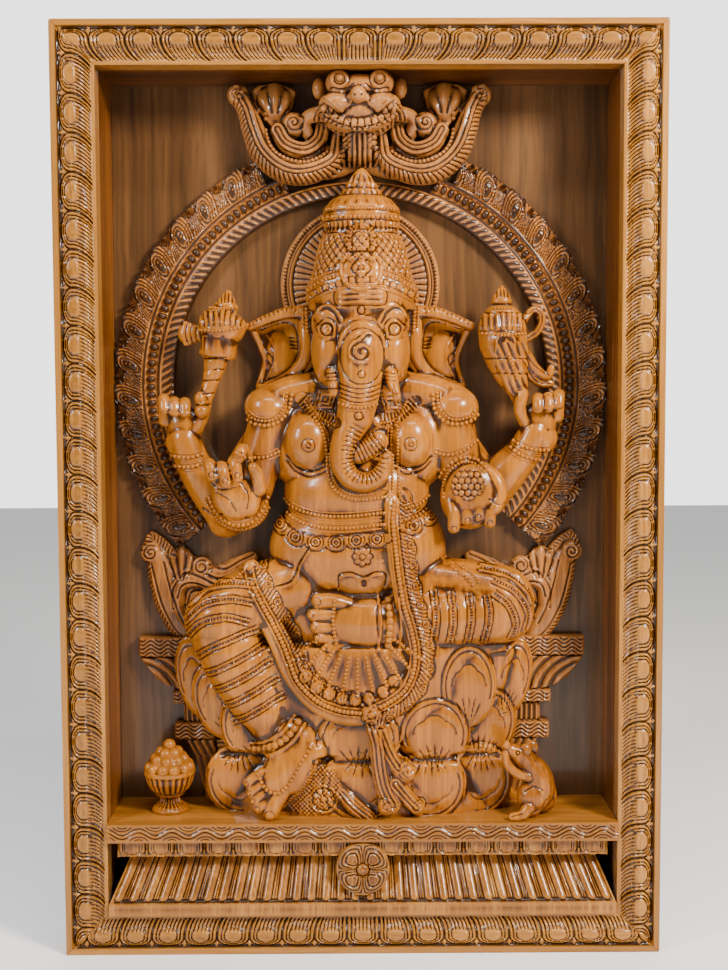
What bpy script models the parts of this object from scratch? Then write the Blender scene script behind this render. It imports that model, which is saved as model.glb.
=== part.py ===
"""Carved teak wall panel: a deep mitred frame round a back board, with an arch, a crest, a throne,
a seated elephant-headed figure on a lotus, a bowl of sweets, a mouse and a stepped plinth.

Metres, +Z up. The front faces -Y and the flat rear face lies on y = 0. The origin is the wall mount,
the middle of the rear face. Heights below are measured from the panel's bottom edge, and relief is
measured forward from the back board's face."""

import math

import bmesh
import bpy
from mathutils import Matrix, Vector

# Outside of the panel
PANEL_WIDTH = 0.790
PANEL_HEIGHT = 1.220
RECESS_DEPTH = 0.125
BACK_BOARD_THICKNESS = 0.020
SIDE_BOARD_THICKNESS = 0.020
JOINT_GAP = 0.0003

# Frame mouldings
MOULDING_WIDTH = 0.055
BOTTOM_MOULDING_WIDTH = 0.050
MOULDING_THICKNESS = 0.038
OUTER_LIP_WIDTH = 0.008
INNER_LIP_WIDTH = 0.008
LEAF_CARVING_DEPTH = 0.005
LEAVES_ON_SIDE = 24
LEAVES_ON_TOP = 16

# Plinth, from the bottom up. A setback is measured back from the shelf's front.
CORNICE_SLAB_HEIGHT = 0.016
CORNICE_SLOPE_HEIGHT = 0.061
CORNICE_SLOPE_RUN = 0.036
CORNICE_STEP = 0.003
CORNICE_END_INSET = 0.026
CORNICE_BACK_RELIEF = 0.040
CORNICE_FLUTES = 34
FLUTE_DEPTH = 0.004
END_CLEARANCE = 0.002
PETAL_BAND_HEIGHT = 0.022
PETAL_BAND_SETBACK = 0.010
PETAL_BAND_INSET = 0.013
PETALS_ON_BAND = 17
PETAL_CARVING_DEPTH = 0.004
SHELF_THICKNESS = 0.025
ROSETTE_RADIUS = 0.036
ROSETTE_PETALS = 4

# Carved work, drawn upwards from DESIGN_FOOT at the shelf, in units that divide the niche's height
NICHE_UNITS = 990.0
DESIGN_FOOT = 175.0
CARVING_VOXEL = 4.0
SMALL_CARVING_VOXEL = 2.5

# Arch, halo and throne in those units. They lie flat on the back board behind the figure.
APPLIED_RELIEF = 21.5
ARCH_CENTRE = 756.0
ARCH_INNER_RADIUS = 257.0
ARCH_TOP_RISE = 3.0
ROPE_BAND_WIDTH = 18.0
BEAD_BAND_WIDTH = 25.0
FLAME_WIDTH = 36.0
FLAME_HEAD_SHARE = 0.55
ARCH_END_ANGLE = -42.0
FLAME_PITCH_ANGLE = 9.0
FLAME_START_ANGLE = 64.0
BEAD_START_ANGLE = 68.0
HALO_CENTRE = 894.0
HALO_RADIUS = 110.0
HALO_RELIEF = 12.0
THRONE_INNER = 150.5
FAN_DEPTH = 1.1
MASK_ARM_DEPTH = 1.5

# Triangles left on each carved piece
FIGURE_TRIANGLES = 3450
CREST_TRIANGLES = 700
SCROLL_TRIANGLES = 240
BOWL_TRIANGLES = 300
MOUSE_TRIANGLES = 300
ROSETTE_TRIANGLES = 220

# Places that follow from the sizes above
opening_half_width = PANEL_WIDTH / 2 - MOULDING_WIDTH
opening_top = PANEL_HEIGHT - MOULDING_WIDTH
plinth_bottom = BOTTOM_MOULDING_WIDTH
cornice_bottom = plinth_bottom + JOINT_GAP
slope_bottom = cornice_bottom + CORNICE_SLAB_HEIGHT
cornice_top = slope_bottom + CORNICE_SLOPE_HEIGHT
petal_band_bottom = cornice_top + JOINT_GAP
petal_band_top = petal_band_bottom + PETAL_BAND_HEIGHT
shelf_bottom = petal_band_top + JOINT_GAP
shelf_top = shelf_bottom + SHELF_THICKNESS
shelf_relief = RECESS_DEPTH - END_CLEARANCE
slope_foot_relief = shelf_relief - CORNICE_STEP
slope_top_relief = slope_foot_relief - CORNICE_SLOPE_RUN
petal_band_relief = shelf_relief - PETAL_BAND_SETBACK
unit = (opening_top - shelf_top) / NICHE_UNITS
applied_clear = APPLIED_RELIEF * unit + 2 * JOINT_GAP
arch_reach = opening_half_width - END_CLEARANCE


def clear_scene():
    for old in list(bpy.data.objects):
        bpy.data.objects.remove(old)


def new_collection(name):
    made = bpy.data.collections.new(name)
    bpy.context.scene.collection.children.link(made)
    return made


clear_scene()
parts = new_collection("carved_wall_panel")
cutters = new_collection("cutters")
cutters.hide_render = True
origin = bpy.data.objects.new("panel_bottom", None)
origin.location = (0, 0, -PANEL_HEIGHT / 2)
parts.objects.link(origin)


def wood(name, colour, roughness):
    made = bpy.data.materials.new(name)
    made.use_nodes = True
    shader = made.node_tree.nodes["Principled BSDF"]
    shader.inputs["Base Color"].default_value = (*colour, 1)
    shader.inputs["Roughness"].default_value = roughness
    shader.inputs["Metallic"].default_value = 0.0
    return made


POLISHED_TEAK = wood("polished_teak", (0.42, 0.20, 0.06), 0.28)
DARK_TEAK = wood("dark_teak", (0.25, 0.13, 0.06), 0.35)
FRAME_TEAK = wood("frame_teak", (0.36, 0.20, 0.08), 0.32)


def forward(relief):
    """The y of a point that stands this far in front of the back board's face."""
    return -(BACK_BOARD_THICKNESS + relief)


def add_part(name, mesh, material):
    made = bpy.data.objects.new(name, mesh)
    parts.objects.link(made)
    made.parent = origin
    made.data.materials.append(material)
    return made


def add_cutter(name, mesh):
    made = bpy.data.objects.new(name, mesh)
    cutters.objects.link(made)
    made.parent = origin
    made.hide_render = True
    made.display_type = "WIRE"
    return made


def box_mesh(name, low, high):
    shape = bmesh.new()
    bmesh.ops.create_cube(shape, size=1.0)
    size = Vector(high) - Vector(low)
    middle = (Vector(high) + Vector(low)) / 2
    bmesh.ops.scale(shape, vec=size, verts=shape.verts)
    bmesh.ops.translate(shape, vec=middle, verts=shape.verts)
    mesh = bpy.data.meshes.new(name)
    shape.to_mesh(mesh)
    shape.free()
    return mesh


def loft_mesh(name, sections):
    """A closed solid through a row of sections, each a ring of as many points."""
    shape = bmesh.new()
    rings = [[shape.verts.new(point) for point in section] for section in sections]
    count = len(sections[0])
    for near, far in zip(rings, rings[1:]):
        for i in range(count):
            j = (i + 1) % count
            shape.faces.new((near[i], near[j], far[j], far[i]))
    shape.faces.new(rings[0])
    shape.faces.new(rings[-1])
    bmesh.ops.recalc_face_normals(shape, faces=shape.faces)
    bmesh.ops.dissolve_limit(
        shape, angle_limit=math.radians(0.05), verts=shape.verts, edges=shape.edges
    )
    mesh = bpy.data.meshes.new(name)
    shape.to_mesh(mesh)
    shape.free()
    return mesh


def cylinder_mesh(name, centre_x, centre_height, radius, near, far, segments=48):
    """A cylinder whose axis runs from front to back, between two reliefs."""
    shape = bmesh.new()
    bmesh.ops.create_cone(
        shape, cap_ends=True, segments=segments, radius1=radius, radius2=radius, depth=far - near
    )
    turn = Matrix.Rotation(math.radians(90), 4, "X")
    place = Matrix.Translation((centre_x, forward((near + far) / 2), centre_height))
    bmesh.ops.transform(shape, matrix=place @ turn, verts=shape.verts)
    mesh = bpy.data.meshes.new(name)
    shape.to_mesh(mesh)
    shape.free()
    return mesh


def cut(piece, cutter):
    modifier = piece.modifiers.new(cutter.name, "BOOLEAN")
    modifier.operation = "DIFFERENCE"
    modifier.object = cutter


# Box behind the frame

moulding_back = forward(RECESS_DEPTH - MOULDING_THICKNESS - JOINT_GAP)


def box_boards():
    inner_x = opening_half_width
    outer_x = inner_x + SIDE_BOARD_THICKNESS
    low = plinth_bottom - SIDE_BOARD_THICKNESS
    high = opening_top + SIDE_BOARD_THICKNESS
    for name, side in (("box_side_left", -1), ("box_side_right", 1)):
        near, far = sorted((side * inner_x, side * outer_x))
        add_part(name, box_mesh(name, (near, moulding_back, low), (far, 0, high)), DARK_TEAK)
    width = inner_x - JOINT_GAP
    for name, bottom, top in (
        ("box_top", opening_top, high),
        ("box_bottom", low, plinth_bottom),
    ):
        add_part(name, box_mesh(name, (-width, moulding_back, bottom), (width, 0, top)), DARK_TEAK)
    board = box_mesh(
        "back_board",
        (-width, forward(0), plinth_bottom + JOINT_GAP),
        (width, 0, opening_top - JOINT_GAP),
    )
    add_part("back_board", board, DARK_TEAK)


# Mitred frame with a row of carved leaves

def moulding_profile(width):
    """Points across the moulding from its outer edge: distance in, height below the front, and
    whether the carving reaches it."""
    carved_start = OUTER_LIP_WIDTH + 0.003
    carved_end = width - INNER_LIP_WIDTH
    carved = carved_end - carved_start
    return (
        (0.0, 0.0, 0),
        (OUTER_LIP_WIDTH, 0.0, 0),
        (carved_start, 0.005, 0),
        (carved_start + 0.25 * carved, 0.002, 1),
        (carved_start + 0.6 * carved, 0.004, 1),
        (carved_end, 0.011, 0),
        (width, 0.010, 0),
        (width, MOULDING_THICKNESS, 0),
        (0.0, MOULDING_THICKNESS, 0),
    )


def moulding_sections(length, width, leaves, start_mitre, end_mitre):
    """Sections along one member, as (along, across, below the front). Both ends are mitred."""
    sections = []
    steps = 2 * leaves
    for step in range(steps + 1):
        groove = LEAF_CARVING_DEPTH if step % 2 == 0 else 0.0
        ring = []
        for across, below, carved in moulding_profile(width):
            start = across * start_mitre + JOINT_GAP
            end = length - across * end_mitre - JOINT_GAP
            ring.append((start + (end - start) * step / steps, across, below + carved * groove))
        sections.append(ring)
    return sections


def frame_members():
    half = PANEL_WIDTH / 2
    front = forward(RECESS_DEPTH)
    bottom_slope = MOULDING_WIDTH / BOTTOM_MOULDING_WIDTH
    for name, side in (("frame_left", -1), ("frame_right", 1)):
        rings = moulding_sections(
            PANEL_HEIGHT, MOULDING_WIDTH, LEAVES_ON_SIDE, 1 / bottom_slope, 1.0
        )
        placed = [
            [(side * (half - across), front + below, along) for along, across, below in ring]
            for ring in rings
        ]
        add_part(name, loft_mesh(name, placed), FRAME_TEAK)
    rings = moulding_sections(PANEL_WIDTH, MOULDING_WIDTH, LEAVES_ON_TOP, 1.0, 1.0)
    placed = [
        [(along - half, front + below, PANEL_HEIGHT - across) for along, across, below in ring]
        for ring in rings
    ]
    add_part("frame_top", loft_mesh("frame_top", placed), FRAME_TEAK)
    rings = moulding_sections(
        PANEL_WIDTH, BOTTOM_MOULDING_WIDTH, LEAVES_ON_TOP, bottom_slope, bottom_slope
    )
    placed = [
        [(along - half, front + below, across) for along, across, below in ring] for ring in rings
    ]
    add_part("frame_bottom", loft_mesh("frame_bottom", placed), FRAME_TEAK)


# Stepped plinth

def fluted_cornice():
    half = opening_half_width - END_CLEARANCE
    sections = []
    steps = 2 * CORNICE_FLUTES
    for step in range(steps + 1):
        share = 2 * step / steps - 1
        flute = FLUTE_DEPTH if step % 2 else 0.0
        low_x = share * half
        high_x = share * (half - CORNICE_END_INSET)
        sections.append(
            [
                (low_x, forward(CORNICE_BACK_RELIEF), cornice_bottom),
                (low_x, forward(shelf_relief), cornice_bottom),
                (low_x, forward(shelf_relief), slope_bottom),
                (low_x, forward(slope_foot_relief - flute), slope_bottom),
                (high_x, forward(slope_top_relief - flute), cornice_top),
                (high_x, forward(CORNICE_BACK_RELIEF), cornice_top),
            ]
        )
    add_part("fluted_cornice", loft_mesh("fluted_cornice", sections), POLISHED_TEAK)


def petal_band():
    half = opening_half_width - PETAL_BAND_INSET
    sections = []
    steps = 2 * PETALS_ON_BAND
    for step in range(steps + 1):
        x = (2 * step / steps - 1) * half
        groove = PETAL_CARVING_DEPTH if step % 2 == 0 else 0.0
        front = petal_band_relief - groove
        sections.append(
            [
                (x, forward(CORNICE_BACK_RELIEF), petal_band_bottom),
                (x, forward(front - 0.008), petal_band_bottom),
                (x, forward(front), petal_band_bottom + 0.006),
                (x, forward(front), petal_band_top),
                (x, forward(CORNICE_BACK_RELIEF), petal_band_top),
            ]
        )
    add_part("petal_band", loft_mesh("petal_band", sections), POLISHED_TEAK)


def shelf():
    half = opening_half_width - JOINT_GAP
    mesh = box_mesh(
        "shelf",
        (-half, forward(shelf_relief), shelf_bottom),
        (half, forward(JOINT_GAP), shelf_top),
    )
    add_part("shelf", mesh, POLISHED_TEAK)


# Arch and halo on the back board

def height_of(design):
    return shelf_top + (design - DESIGN_FOOT) * unit


def arch_section(angle, crest):
    """One section across the arch. crest is 1 where a flame stands out and 0 in the notch between."""
    turn = math.radians(angle)
    from_side = 90 - abs(90 - angle)
    inner = ARCH_INNER_RADIUS + ARCH_TOP_RISE * math.sin(turn) ** 2
    rope = inner + ROPE_BAND_WIDTH
    bead = rope + (BEAD_BAND_WIDTH if from_side < BEAD_START_ANGLE else 2)
    flame_out = FLAME_WIDTH * (0.72 + 0.28 * crest) if from_side <= FLAME_START_ANGLE else 2
    flame = bead + flame_out
    low = JOINT_GAP / unit
    profile = (
        (inner, low),
        (inner, 13),
        (inner + ROPE_BAND_WIDTH / 2, 18),
        (rope, 14),
        ((rope + bead) / 2, APPLIED_RELIEF),
        (bead, 15),
        (bead + FLAME_HEAD_SHARE * flame_out, 14 + 5 * crest),
        (flame, 8),
        (flame, low),
    )
    middle = height_of(ARCH_CENTRE)
    return [
        (
            min(arch_reach, max(-arch_reach, radius * unit * math.cos(turn))),
            forward(relief * unit),
            middle + radius * unit * math.sin(turn),
        )
        for radius, relief in profile
    ]


def arch():
    span = 180 - 2 * ARCH_END_ANGLE
    steps = 2 * round(span / FLAME_PITCH_ANGLE)
    sections = [
        arch_section(ARCH_END_ANGLE + span * step / steps, step % 2) for step in range(steps + 1)
    ]
    add_part("arch", loft_mesh("arch", sections), DARK_TEAK)


def halo():
    """A turned disc: the profile runs from the middle out to the beaded rim and back."""
    profile = (
        (0.0, HALO_RELIEF * 0.6),
        (HALO_RADIUS * 0.86, HALO_RELIEF * 0.6),
        (HALO_RADIUS * 0.90, HALO_RELIEF),
        (HALO_RADIUS * 0.97, HALO_RELIEF),
        (HALO_RADIUS, HALO_RELIEF * 0.7),
        (HALO_RADIUS, JOINT_GAP / unit),
        (0.0, JOINT_GAP / unit),
    )
    mesh = bpy.data.meshes.new("halo_disc")
    points = [(radius * unit, 0.0, relief * unit) for radius, relief in profile]
    mesh.from_pydata(points, [(i, i + 1) for i in range(len(points) - 1)], [])
    made = add_part("halo_disc", mesh, DARK_TEAK)
    made.location = (0, forward(0), height_of(HALO_CENTRE))
    made.rotation_euler = (math.radians(90), 0, 0)
    turned = made.modifiers.new("turned", "SCREW")
    turned.steps = turned.render_steps = 32
    turned.use_merge_vertices = True
    turned.merge_threshold = 0.0001


# Throne piers, one on each side of the lotus. Each line is a level: height above the shelf, outer
# edge from the panel's middle, relief.

PIER_LEVELS = (
    (0, 298, 21.5),
    (20, 298, 21.5),
    (21, 290, 18),
    (35, 286, 18),
    (60, 266, 18),
    (88, 248, 18),
    (89, 262, 21.5),
    (108, 262, 21.5),
    (109, 251, 15),
    (137, 251, 15),
    (138, 264, 21.5),
    (153, 264, 21.5),
    (154, 256, 17),
    (175, 290, 19),
    (203, 305, 19),
    (204, 311, 21.5),
    (231, 311, 21.5),
)


def throne_piers():
    back = forward(JOINT_GAP)
    for name, side in (("throne_pier_left", -1), ("throne_pier_right", 1)):
        sections = []
        for rise, outer, relief in PIER_LEVELS:
            z = shelf_top + JOINT_GAP + rise * unit
            near, far = side * THRONE_INNER * unit, side * outer * unit
            front = forward(min(relief, APPLIED_RELIEF) * unit)
            sections.append([(near, back, z), (far, back, z), (far, front, z), (near, front, z)])
        add_part(name, loft_mesh(name, sections), DARK_TEAK)


# Carved pieces: rounded forms joined, made one skin, and thinned

def at(x, relief, height):
    """A point of the carving, from its design sizes to metres in the panel."""
    return Vector((x * unit, forward(relief * unit), height_of(height)))


def ball(x, relief, height, across, deep, tall, turn=0.0):
    """An ellipsoid. A positive turn leans it to the left as seen from the front."""
    shape = bmesh.new()
    bmesh.ops.create_uvsphere(shape, u_segments=20, v_segments=12, radius=unit)
    size = Matrix.Diagonal((across, deep, tall, 1))
    lean = Matrix.Rotation(math.radians(-turn), 4, "Y")
    place = Matrix.Translation(at(x, relief, height))
    bmesh.ops.transform(shape, matrix=place @ lean @ size, verts=shape.verts)
    mesh = bpy.data.meshes.new("ball")
    shape.to_mesh(mesh)
    shape.free()
    return bpy.data.objects.new("ball", mesh)


def limb(points, flat=1.0, smooth=True):
    """A tapered round form through points given as (x, relief, height, radius)."""
    curve = bpy.data.curves.new("limb", "CURVE")
    curve.dimensions = "3D"
    curve.bevel_depth = unit
    curve.bevel_resolution = 4
    curve.use_fill_caps = True
    curve.resolution_u = 4
    if smooth:
        spline = curve.splines.new("BEZIER")
        spline.bezier_points.add(len(points) - 1)
        for knot, (x, relief, height, radius) in zip(spline.bezier_points, points):
            knot.co = at(x, relief, height)
            knot.radius = radius
            knot.handle_left_type = knot.handle_right_type = "AUTO"
    else:
        spline = curve.splines.new("POLY")
        spline.points.add(len(points) - 1)
        for knot, (x, relief, height, radius) in zip(spline.points, points):
            knot.co = (*at(x, relief, height), 1)
            knot.radius = radius
    curved = bpy.data.objects.new("limb", curve)
    cutters.objects.link(curved)
    bpy.context.view_layer.update()
    mesh = bpy.data.meshes.new_from_object(curved.evaluated_get(bpy.context.evaluated_depsgraph_get()))
    bpy.data.objects.remove(curved)
    shape = bmesh.new()
    shape.from_mesh(mesh)
    bmesh.ops.remove_doubles(shape, verts=shape.verts, dist=1e-6)
    middle = at(*points[0][:3]).y
    bmesh.ops.translate(shape, vec=(0, -middle, 0), verts=shape.verts)
    bmesh.ops.scale(shape, vec=(1, flat, 1), verts=shape.verts)
    bmesh.ops.translate(shape, vec=(0, middle, 0), verts=shape.verts)
    bmesh.ops.recalc_face_normals(shape, faces=shape.faces)
    shape.to_mesh(mesh)
    shape.free()
    ends = [
        ball(x, relief, height, radius, radius * flat, radius)
        for x, relief, height, radius in (points[0], points[-1])
    ]
    return [bpy.data.objects.new("limb", mesh), *ends]


def slab(points, near, far):
    """A flat outline between two reliefs."""
    rings = [[at(x, relief, height) for x, height in points] for relief in (near, far)]
    return bpy.data.objects.new("slab", loft_mesh("slab", rings))


def mirrored(pieces):
    """Copies of these forms on the other side of the panel's middle."""
    copies = []
    for piece in pieces:
        mesh = piece.data.copy()
        mesh.transform(Matrix.Diagonal((-1, 1, 1, 1)))
        mesh.flip_normals()
        copies.append(bpy.data.objects.new("copy", mesh))
    return copies


def carve(name, forms, triangles, material, cut_by, voxel=CARVING_VOXEL):
    """Joins overlapping closed forms into one skin, thins it and trims it."""
    shape = bmesh.new()
    for form in forms:
        shape.from_mesh(form.data)
        bpy.data.objects.remove(form)
    mesh = bpy.data.meshes.new(name)
    shape.to_mesh(mesh)
    shape.free()
    made = add_part(name, mesh, material)
    skin = made.modifiers.new("skin", "REMESH")
    skin.mode = "VOXEL"
    skin.voxel_size = voxel * unit
    soften = made.modifiers.new("soften", "SMOOTH")
    soften.factor = 0.5
    soften.iterations = 2
    bpy.context.view_layer.update()
    count = len(made.evaluated_get(bpy.context.evaluated_depsgraph_get()).data.polygons) * 2
    thin = made.modifiers.new("thin", "DECIMATE")
    thin.ratio = min(1.0, triangles / count)
    thin.use_collapse_triangulate = True
    for cutter in cut_by:
        cut(made, cutter)
    return made


# Figure: each function gives the rounded forms of one region

def torso():
    shoulders = limb([(-52, 38, 752, 24), (-92, 40, 744, 26), (-124, 42, 732, 26)])
    return [
        *shoulders,
        *mirrored(shoulders),
        ball(-84, 36, 676, 40, 40, 62),
        ball(82, 36, 678, 40, 40, 62),
        ball(-4, 36, 540, 123, 64, 92),
        ball(-5, 38, 618, 102, 56, 70),
        ball(-5, 32, 690, 108, 48, 62),
        ball(-2, 34, 742, 84, 36, 30),
        ball(-70, 68, 683, 32, 20, 36),
        ball(64, 68, 683, 30, 20, 36),
        ball(-4, 34, 482, 126, 50, 52),
    ]


def head():
    forms = [
        ball(0, 50, 838, 66, 50, 60),
        ball(0, 58, 868, 58, 40, 32),
        ball(-42, 60, 800, 24, 34, 46),
        ball(42, 60, 800, 24, 34, 46),
    ]
    forms += limb([(-38, 84, 776, 9), (-37, 96, 760, 7), (-36, 104, 744, 4)])
    forms += limb([(38, 84, 776, 9), (43, 96, 758, 7), (48, 104, 740, 4)])
    forms += limb(
        [
            (0, 72, 846, 26),
            (0, 84, 812, 31),
            (-1, 88, 776, 30),
            (-3, 90, 740, 28),
            (-9, 91, 712, 25),
            (-21, 92, 688, 19),
            (-27, 92, 660, 16),
            (-21, 92, 638, 14),
            (-6, 92, 628, 13),
            (10, 93, 628, 12),
            (24, 94, 637, 11),
            (33, 95, 652, 9),
            (34, 95, 662, 7),
        ]
    )
    forms += limb([(-4, 92, 668, 11), (12, 96, 678, 12), (25, 98, 688, 10)])
    forms += ear() + mirrored(ear())
    return forms


def ear():
    outline = [
        (-58, 852), (-88, 858), (-122, 852), (-153, 838), (-148, 824), (-127, 806),
        (-121, 788), (-128, 768), (-137, 750), (-110, 752), (-84, 764), (-58, 790),
    ]
    rim = [(-64, 34, 850, 7), (-90, 36, 854, 7), (-124, 38, 847, 7), (-148, 38, 834, 6)]
    flap = [(-82, 38, 848, 6), (-70, 44, 820, 7), (-70, 42, 790, 7), (-90, 38, 766, 6), (-124, 34, 755, 5)]
    return [slab(outline, 6, 30), *limb(rim), *limb(flap)]


def crown():
    profile = [
        (2, 50, 860, 70), (2, 50, 884, 75), (2, 50, 898, 70), (2, 50, 915, 65), (2, 50, 935, 61),
        (2, 50, 955, 53), (2, 50, 966, 46), (2, 50, 970, 50), (2, 50, 988, 49), (2, 50, 996, 40),
        (2, 50, 1008, 27), (2, 50, 1018, 20), (2, 50, 1030, 15), (2, 50, 1041, 3),
    ]
    front = [(1, 94, 908, 20), (1, 92, 935, 17), (1, 88, 962, 9)]
    return [*limb(profile, flat=0.72, smooth=False), *limb(front, flat=0.6)]


def raised_arms():
    """The two rear arms, each holding its emblem up."""
    forms = []
    forms += limb([(-120, 30, 700, 26), (-165, 26, 615, 30), (-178, 30, 580, 28)])
    forms += limb([(-176, 34, 582, 29), (-206, 40, 618, 27), (-234, 46, 660, 22), (-236, 48, 690, 24)])
    forms += fist(-236, 50, 700, 1)
    forms += limb(
        [
            (-212, 52, 716, 8), (-204, 52, 750, 10), (-196, 52, 785, 15), (-195, 52, 794, 23),
            (-190, 52, 812, 26), (-186, 52, 830, 31), (-183, 52, 846, 29), (-180, 52, 856, 16),
            (-178, 52, 868, 14), (-176, 52, 884, 2),
        ],
        flat=0.8,
        smooth=False,
    )
    forms.append(ball(-226, 44, 826, 16, 9, 19))
    forms += limb([(110, 30, 700, 26), (158, 26, 620, 30), (168, 30, 596, 28)])
    forms += limb([(170, 34, 598, 29), (196, 40, 638, 28), (226, 46, 672, 22), (236, 48, 694, 24)])
    forms += fist(240, 50, 704, -1)
    forms += limb(
        [
            (214, 52, 740, 8), (206, 52, 762, 16), (198, 52, 786, 26), (192, 52, 812, 31),
            (191, 52, 838, 31), (190, 52, 856, 24), (189, 52, 866, 14), (189, 52, 872, 13), (190, 52, 889, 2),
        ],
        flat=0.8,
        smooth=False,
    )
    forms += limb([(222, 42, 834, 6), (240, 40, 852, 6), (246, 38, 842, 5), (232, 40, 828, 6)])
    forms += limb([(224, 42, 820, 9), (232, 40, 796, 9), (246, 38, 778, 8), (256, 38, 764, 6)])
    return forms


def fist(x, relief, height, side):
    """A hand closed round an emblem, thumb on the inner side."""
    forms = [ball(x, relief, height, 24, 15, 26)]
    for i, (across, up) in enumerate(((-25, 30), (-11, 27), (4, 24))):
        forms += limb(
            [
                (x + side * across, relief - 4, height + 14, 8),
                (x + side * across, relief + 4, height + up + 6 - 2 * i, 8),
                (x + side * (across + 1), relief + 14, height + up - 6 - 2 * i, 7),
            ]
        )
    forms += limb([(x + side * 18, relief, height + 10, 10), (x + side * 24, relief + 8, height + 32, 8)])
    return forms


def front_arms():
    forms = []
    # Shoulders and upper arms
    forms.append(ball(-124, 46, 724, 35, 32, 29, turn=-20))
    forms.append(ball(126, 46, 722, 35, 32, 31, turn=20))
    forms += limb([(-122, 44, 706, 31), (-134, 44, 668, 30), (-148, 44, 618, 29)])
    forms += limb([(124, 44, 706, 32), (128, 48, 672, 31), (136, 52, 632, 28)])
    # Blessing hand on the left, palm forward over its forearm
    forms.append(ball(-162, 58, 590, 36, 30, 30))
    forms.append(ball(-167, 80, 615, 31, 15, 34))
    for top_x, top_z, base_x in ((-205, 644, -188), (-186, 634, -176), (-166, 640, -163)):
        forms += limb(
            [(base_x - 6, 74, 638, 8), (base_x - 4, 84, 664, 8), (top_x + 8, 96, 650, 8), (top_x + 10, 96, 634, 7)]
        )
    forms += limb([(-146, 76, 640, 9), (-150, 84, 662, 9), (-160, 92, 668, 9)])
    forms += limb([(-140, 84, 622, 8), (-138, 90, 645, 8)])
    # Offering hand on the right, sweets on the palm and fingers hanging
    forms.append(ball(148, 76, 604, 38, 18, 42))
    forms.append(ball(141, 82, 622, 21, 15, 20))
    for tip_x, tip_z, base_x in ((122, 564, 118), (140, 572, 138), (156, 576, 154), (174, 580, 168)):
        forms += limb([(base_x, 80, 600, 10), (tip_x, 86, 582, 9), (tip_x, 84, tip_z, 8)])
    forms += limb([(176, 72, 640, 8), (184, 80, 612, 9), (178, 84, 590, 8)])
    return forms


def legs():
    forms = []
    # Lowered leg on the left
    forms += limb([(-92, 46, 486, 46), (-150, 54, 464, 48), (-192, 58, 440, 44)])
    forms.append(ball(-192, 60, 436, 50, 38, 46))
    forms += limb(
        [(-186, 60, 418, 47), (-166, 62, 370, 46), (-142, 62, 322, 38), (-122, 62, 288, 30), (-112, 62, 262, 27)],
        flat=0.8,
    )
    forms += limb([(-92, 76, 272, 35), (-98, 86, 244, 35), (-112, 90, 220, 30), (-120, 92, 204, 23)], flat=0.72)
    for x, z, r in ((-152, 224, 7), (-148, 209, 7), (-140, 195, 8), (-123, 186, 11)):
        forms += limb([(x + 18, 94, z + 12, r), (x, 98, z, r)])
    # Folded leg on the right, sole turned out
    forms += limb([(92, 44, 482, 44), (150, 50, 470, 50), (186, 56, 462, 48)], flat=0.85)
    forms.append(ball(188, 58, 458, 44, 38, 50))
    forms += limb([(192, 66, 446, 40), (140, 70, 444, 40), (92, 72, 440, 38), (46, 74, 438, 34)], flat=0.72)
    forms += limb([(44, 76, 438, 33), (10, 78, 436, 34), (-24, 78, 438, 33)], flat=0.6)
    for z, reach in ((466, -64), (449, -68), (433, -64), (418, -60), (405, -50)):
        forms += limb([(-20, 80, z * 0.86 + 61, 9), (reach, 80, z, 7)])
    # Cloth between the legs
    forms.append(ball(-4, 52, 372, 104, 36, 58))
    forms.append(ball(-62, 46, 444, 52, 36, 52))
    forms += limb(
        [
            (40, 92, 600, 9), (44, 98, 560, 12), (54, 98, 510, 16), (70, 98, 462, 18), (86, 90, 412, 18),
            (84, 88, 370, 18), (52, 90, 330, 17), (0, 92, 312, 17), (-50, 92, 324, 17), (-90, 90, 366, 16),
            (-114, 84, 412, 14), (-140, 80, 462, 13), (-152, 72, 510, 11),
        ],
        flat=0.6,
    )
    forms += limb([(22, 92, 310, 10), (28, 92, 262, 14), (40, 94, 220, 14), (56, 94, 186, 12)], flat=0.6)
    forms += limb([(44, 90, 262, 8), (60, 92, 240, 14), (62, 92, 232, 12)], flat=0.7)
    return forms


SEAT_HALVES = ((252, 125), (262, 152), (284, 180), (314, 198), (350, 212), (392, 222), (404, 220))
BASE_HALVES = ((172, 206), (195, 202), (225, 188), (246, 166), (252, 140))
SEAT_FLATNESS = 0.28
BASE_FLATNESS = 0.3
LOTUS_RELIEF = 34
# Petals as (x, height, half width, half height, lean)
SEAT_PETALS = (
    (144, 350, 37, 56, 0), (206, 354, 26, 54, -12), (-230, 352, 26, 56, 12), (-5, 282, 56, 44, 0),
    (-196, 322, 34, 54, 20), (-150, 292, 42, 52, 16), (172, 290, 38, 52, -14), (98, 284, 47, 50, 0),
)
HANGING_PETALS = ((-170, 216, 44, 48, 0), (162, 216, 42, 48, 0), (0, 217, 54, 48, 0), (94, 216, 45, 48, 0))


def petals(places, halves, flatness):
    """Petals that lie on the front of a flattened turned body."""
    forms = []
    for x, height, across, tall, lean in places:
        below = [level for level in halves if level[0] <= height][-1]
        rounding = math.sqrt(max(0.0, 1 - (x / below[1]) ** 2))
        relief = LOTUS_RELIEF + flatness * below[1] * rounding - 8
        forms.append(ball(x, relief, height, across, 17, tall, turn=lean))
    return forms


def lotus():
    forms = []
    for halves, flatness in ((SEAT_HALVES, SEAT_FLATNESS), (BASE_HALVES, BASE_FLATNESS)):
        forms += limb([(0, LOTUS_RELIEF, height, half) for height, half in halves], flat=flatness, smooth=False)
    return forms + petals(SEAT_PETALS, SEAT_HALVES, SEAT_FLATNESS) + petals(HANGING_PETALS, BASE_HALVES, BASE_FLATNESS)


def figure():
    forms = torso() + head() + crown() + raised_arms() + front_arms() + legs() + lotus()
    trims = figure_trims()
    carve("ganesha_on_lotus", forms, FIGURE_TRIANGLES, POLISHED_TEAK, trims)


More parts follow.
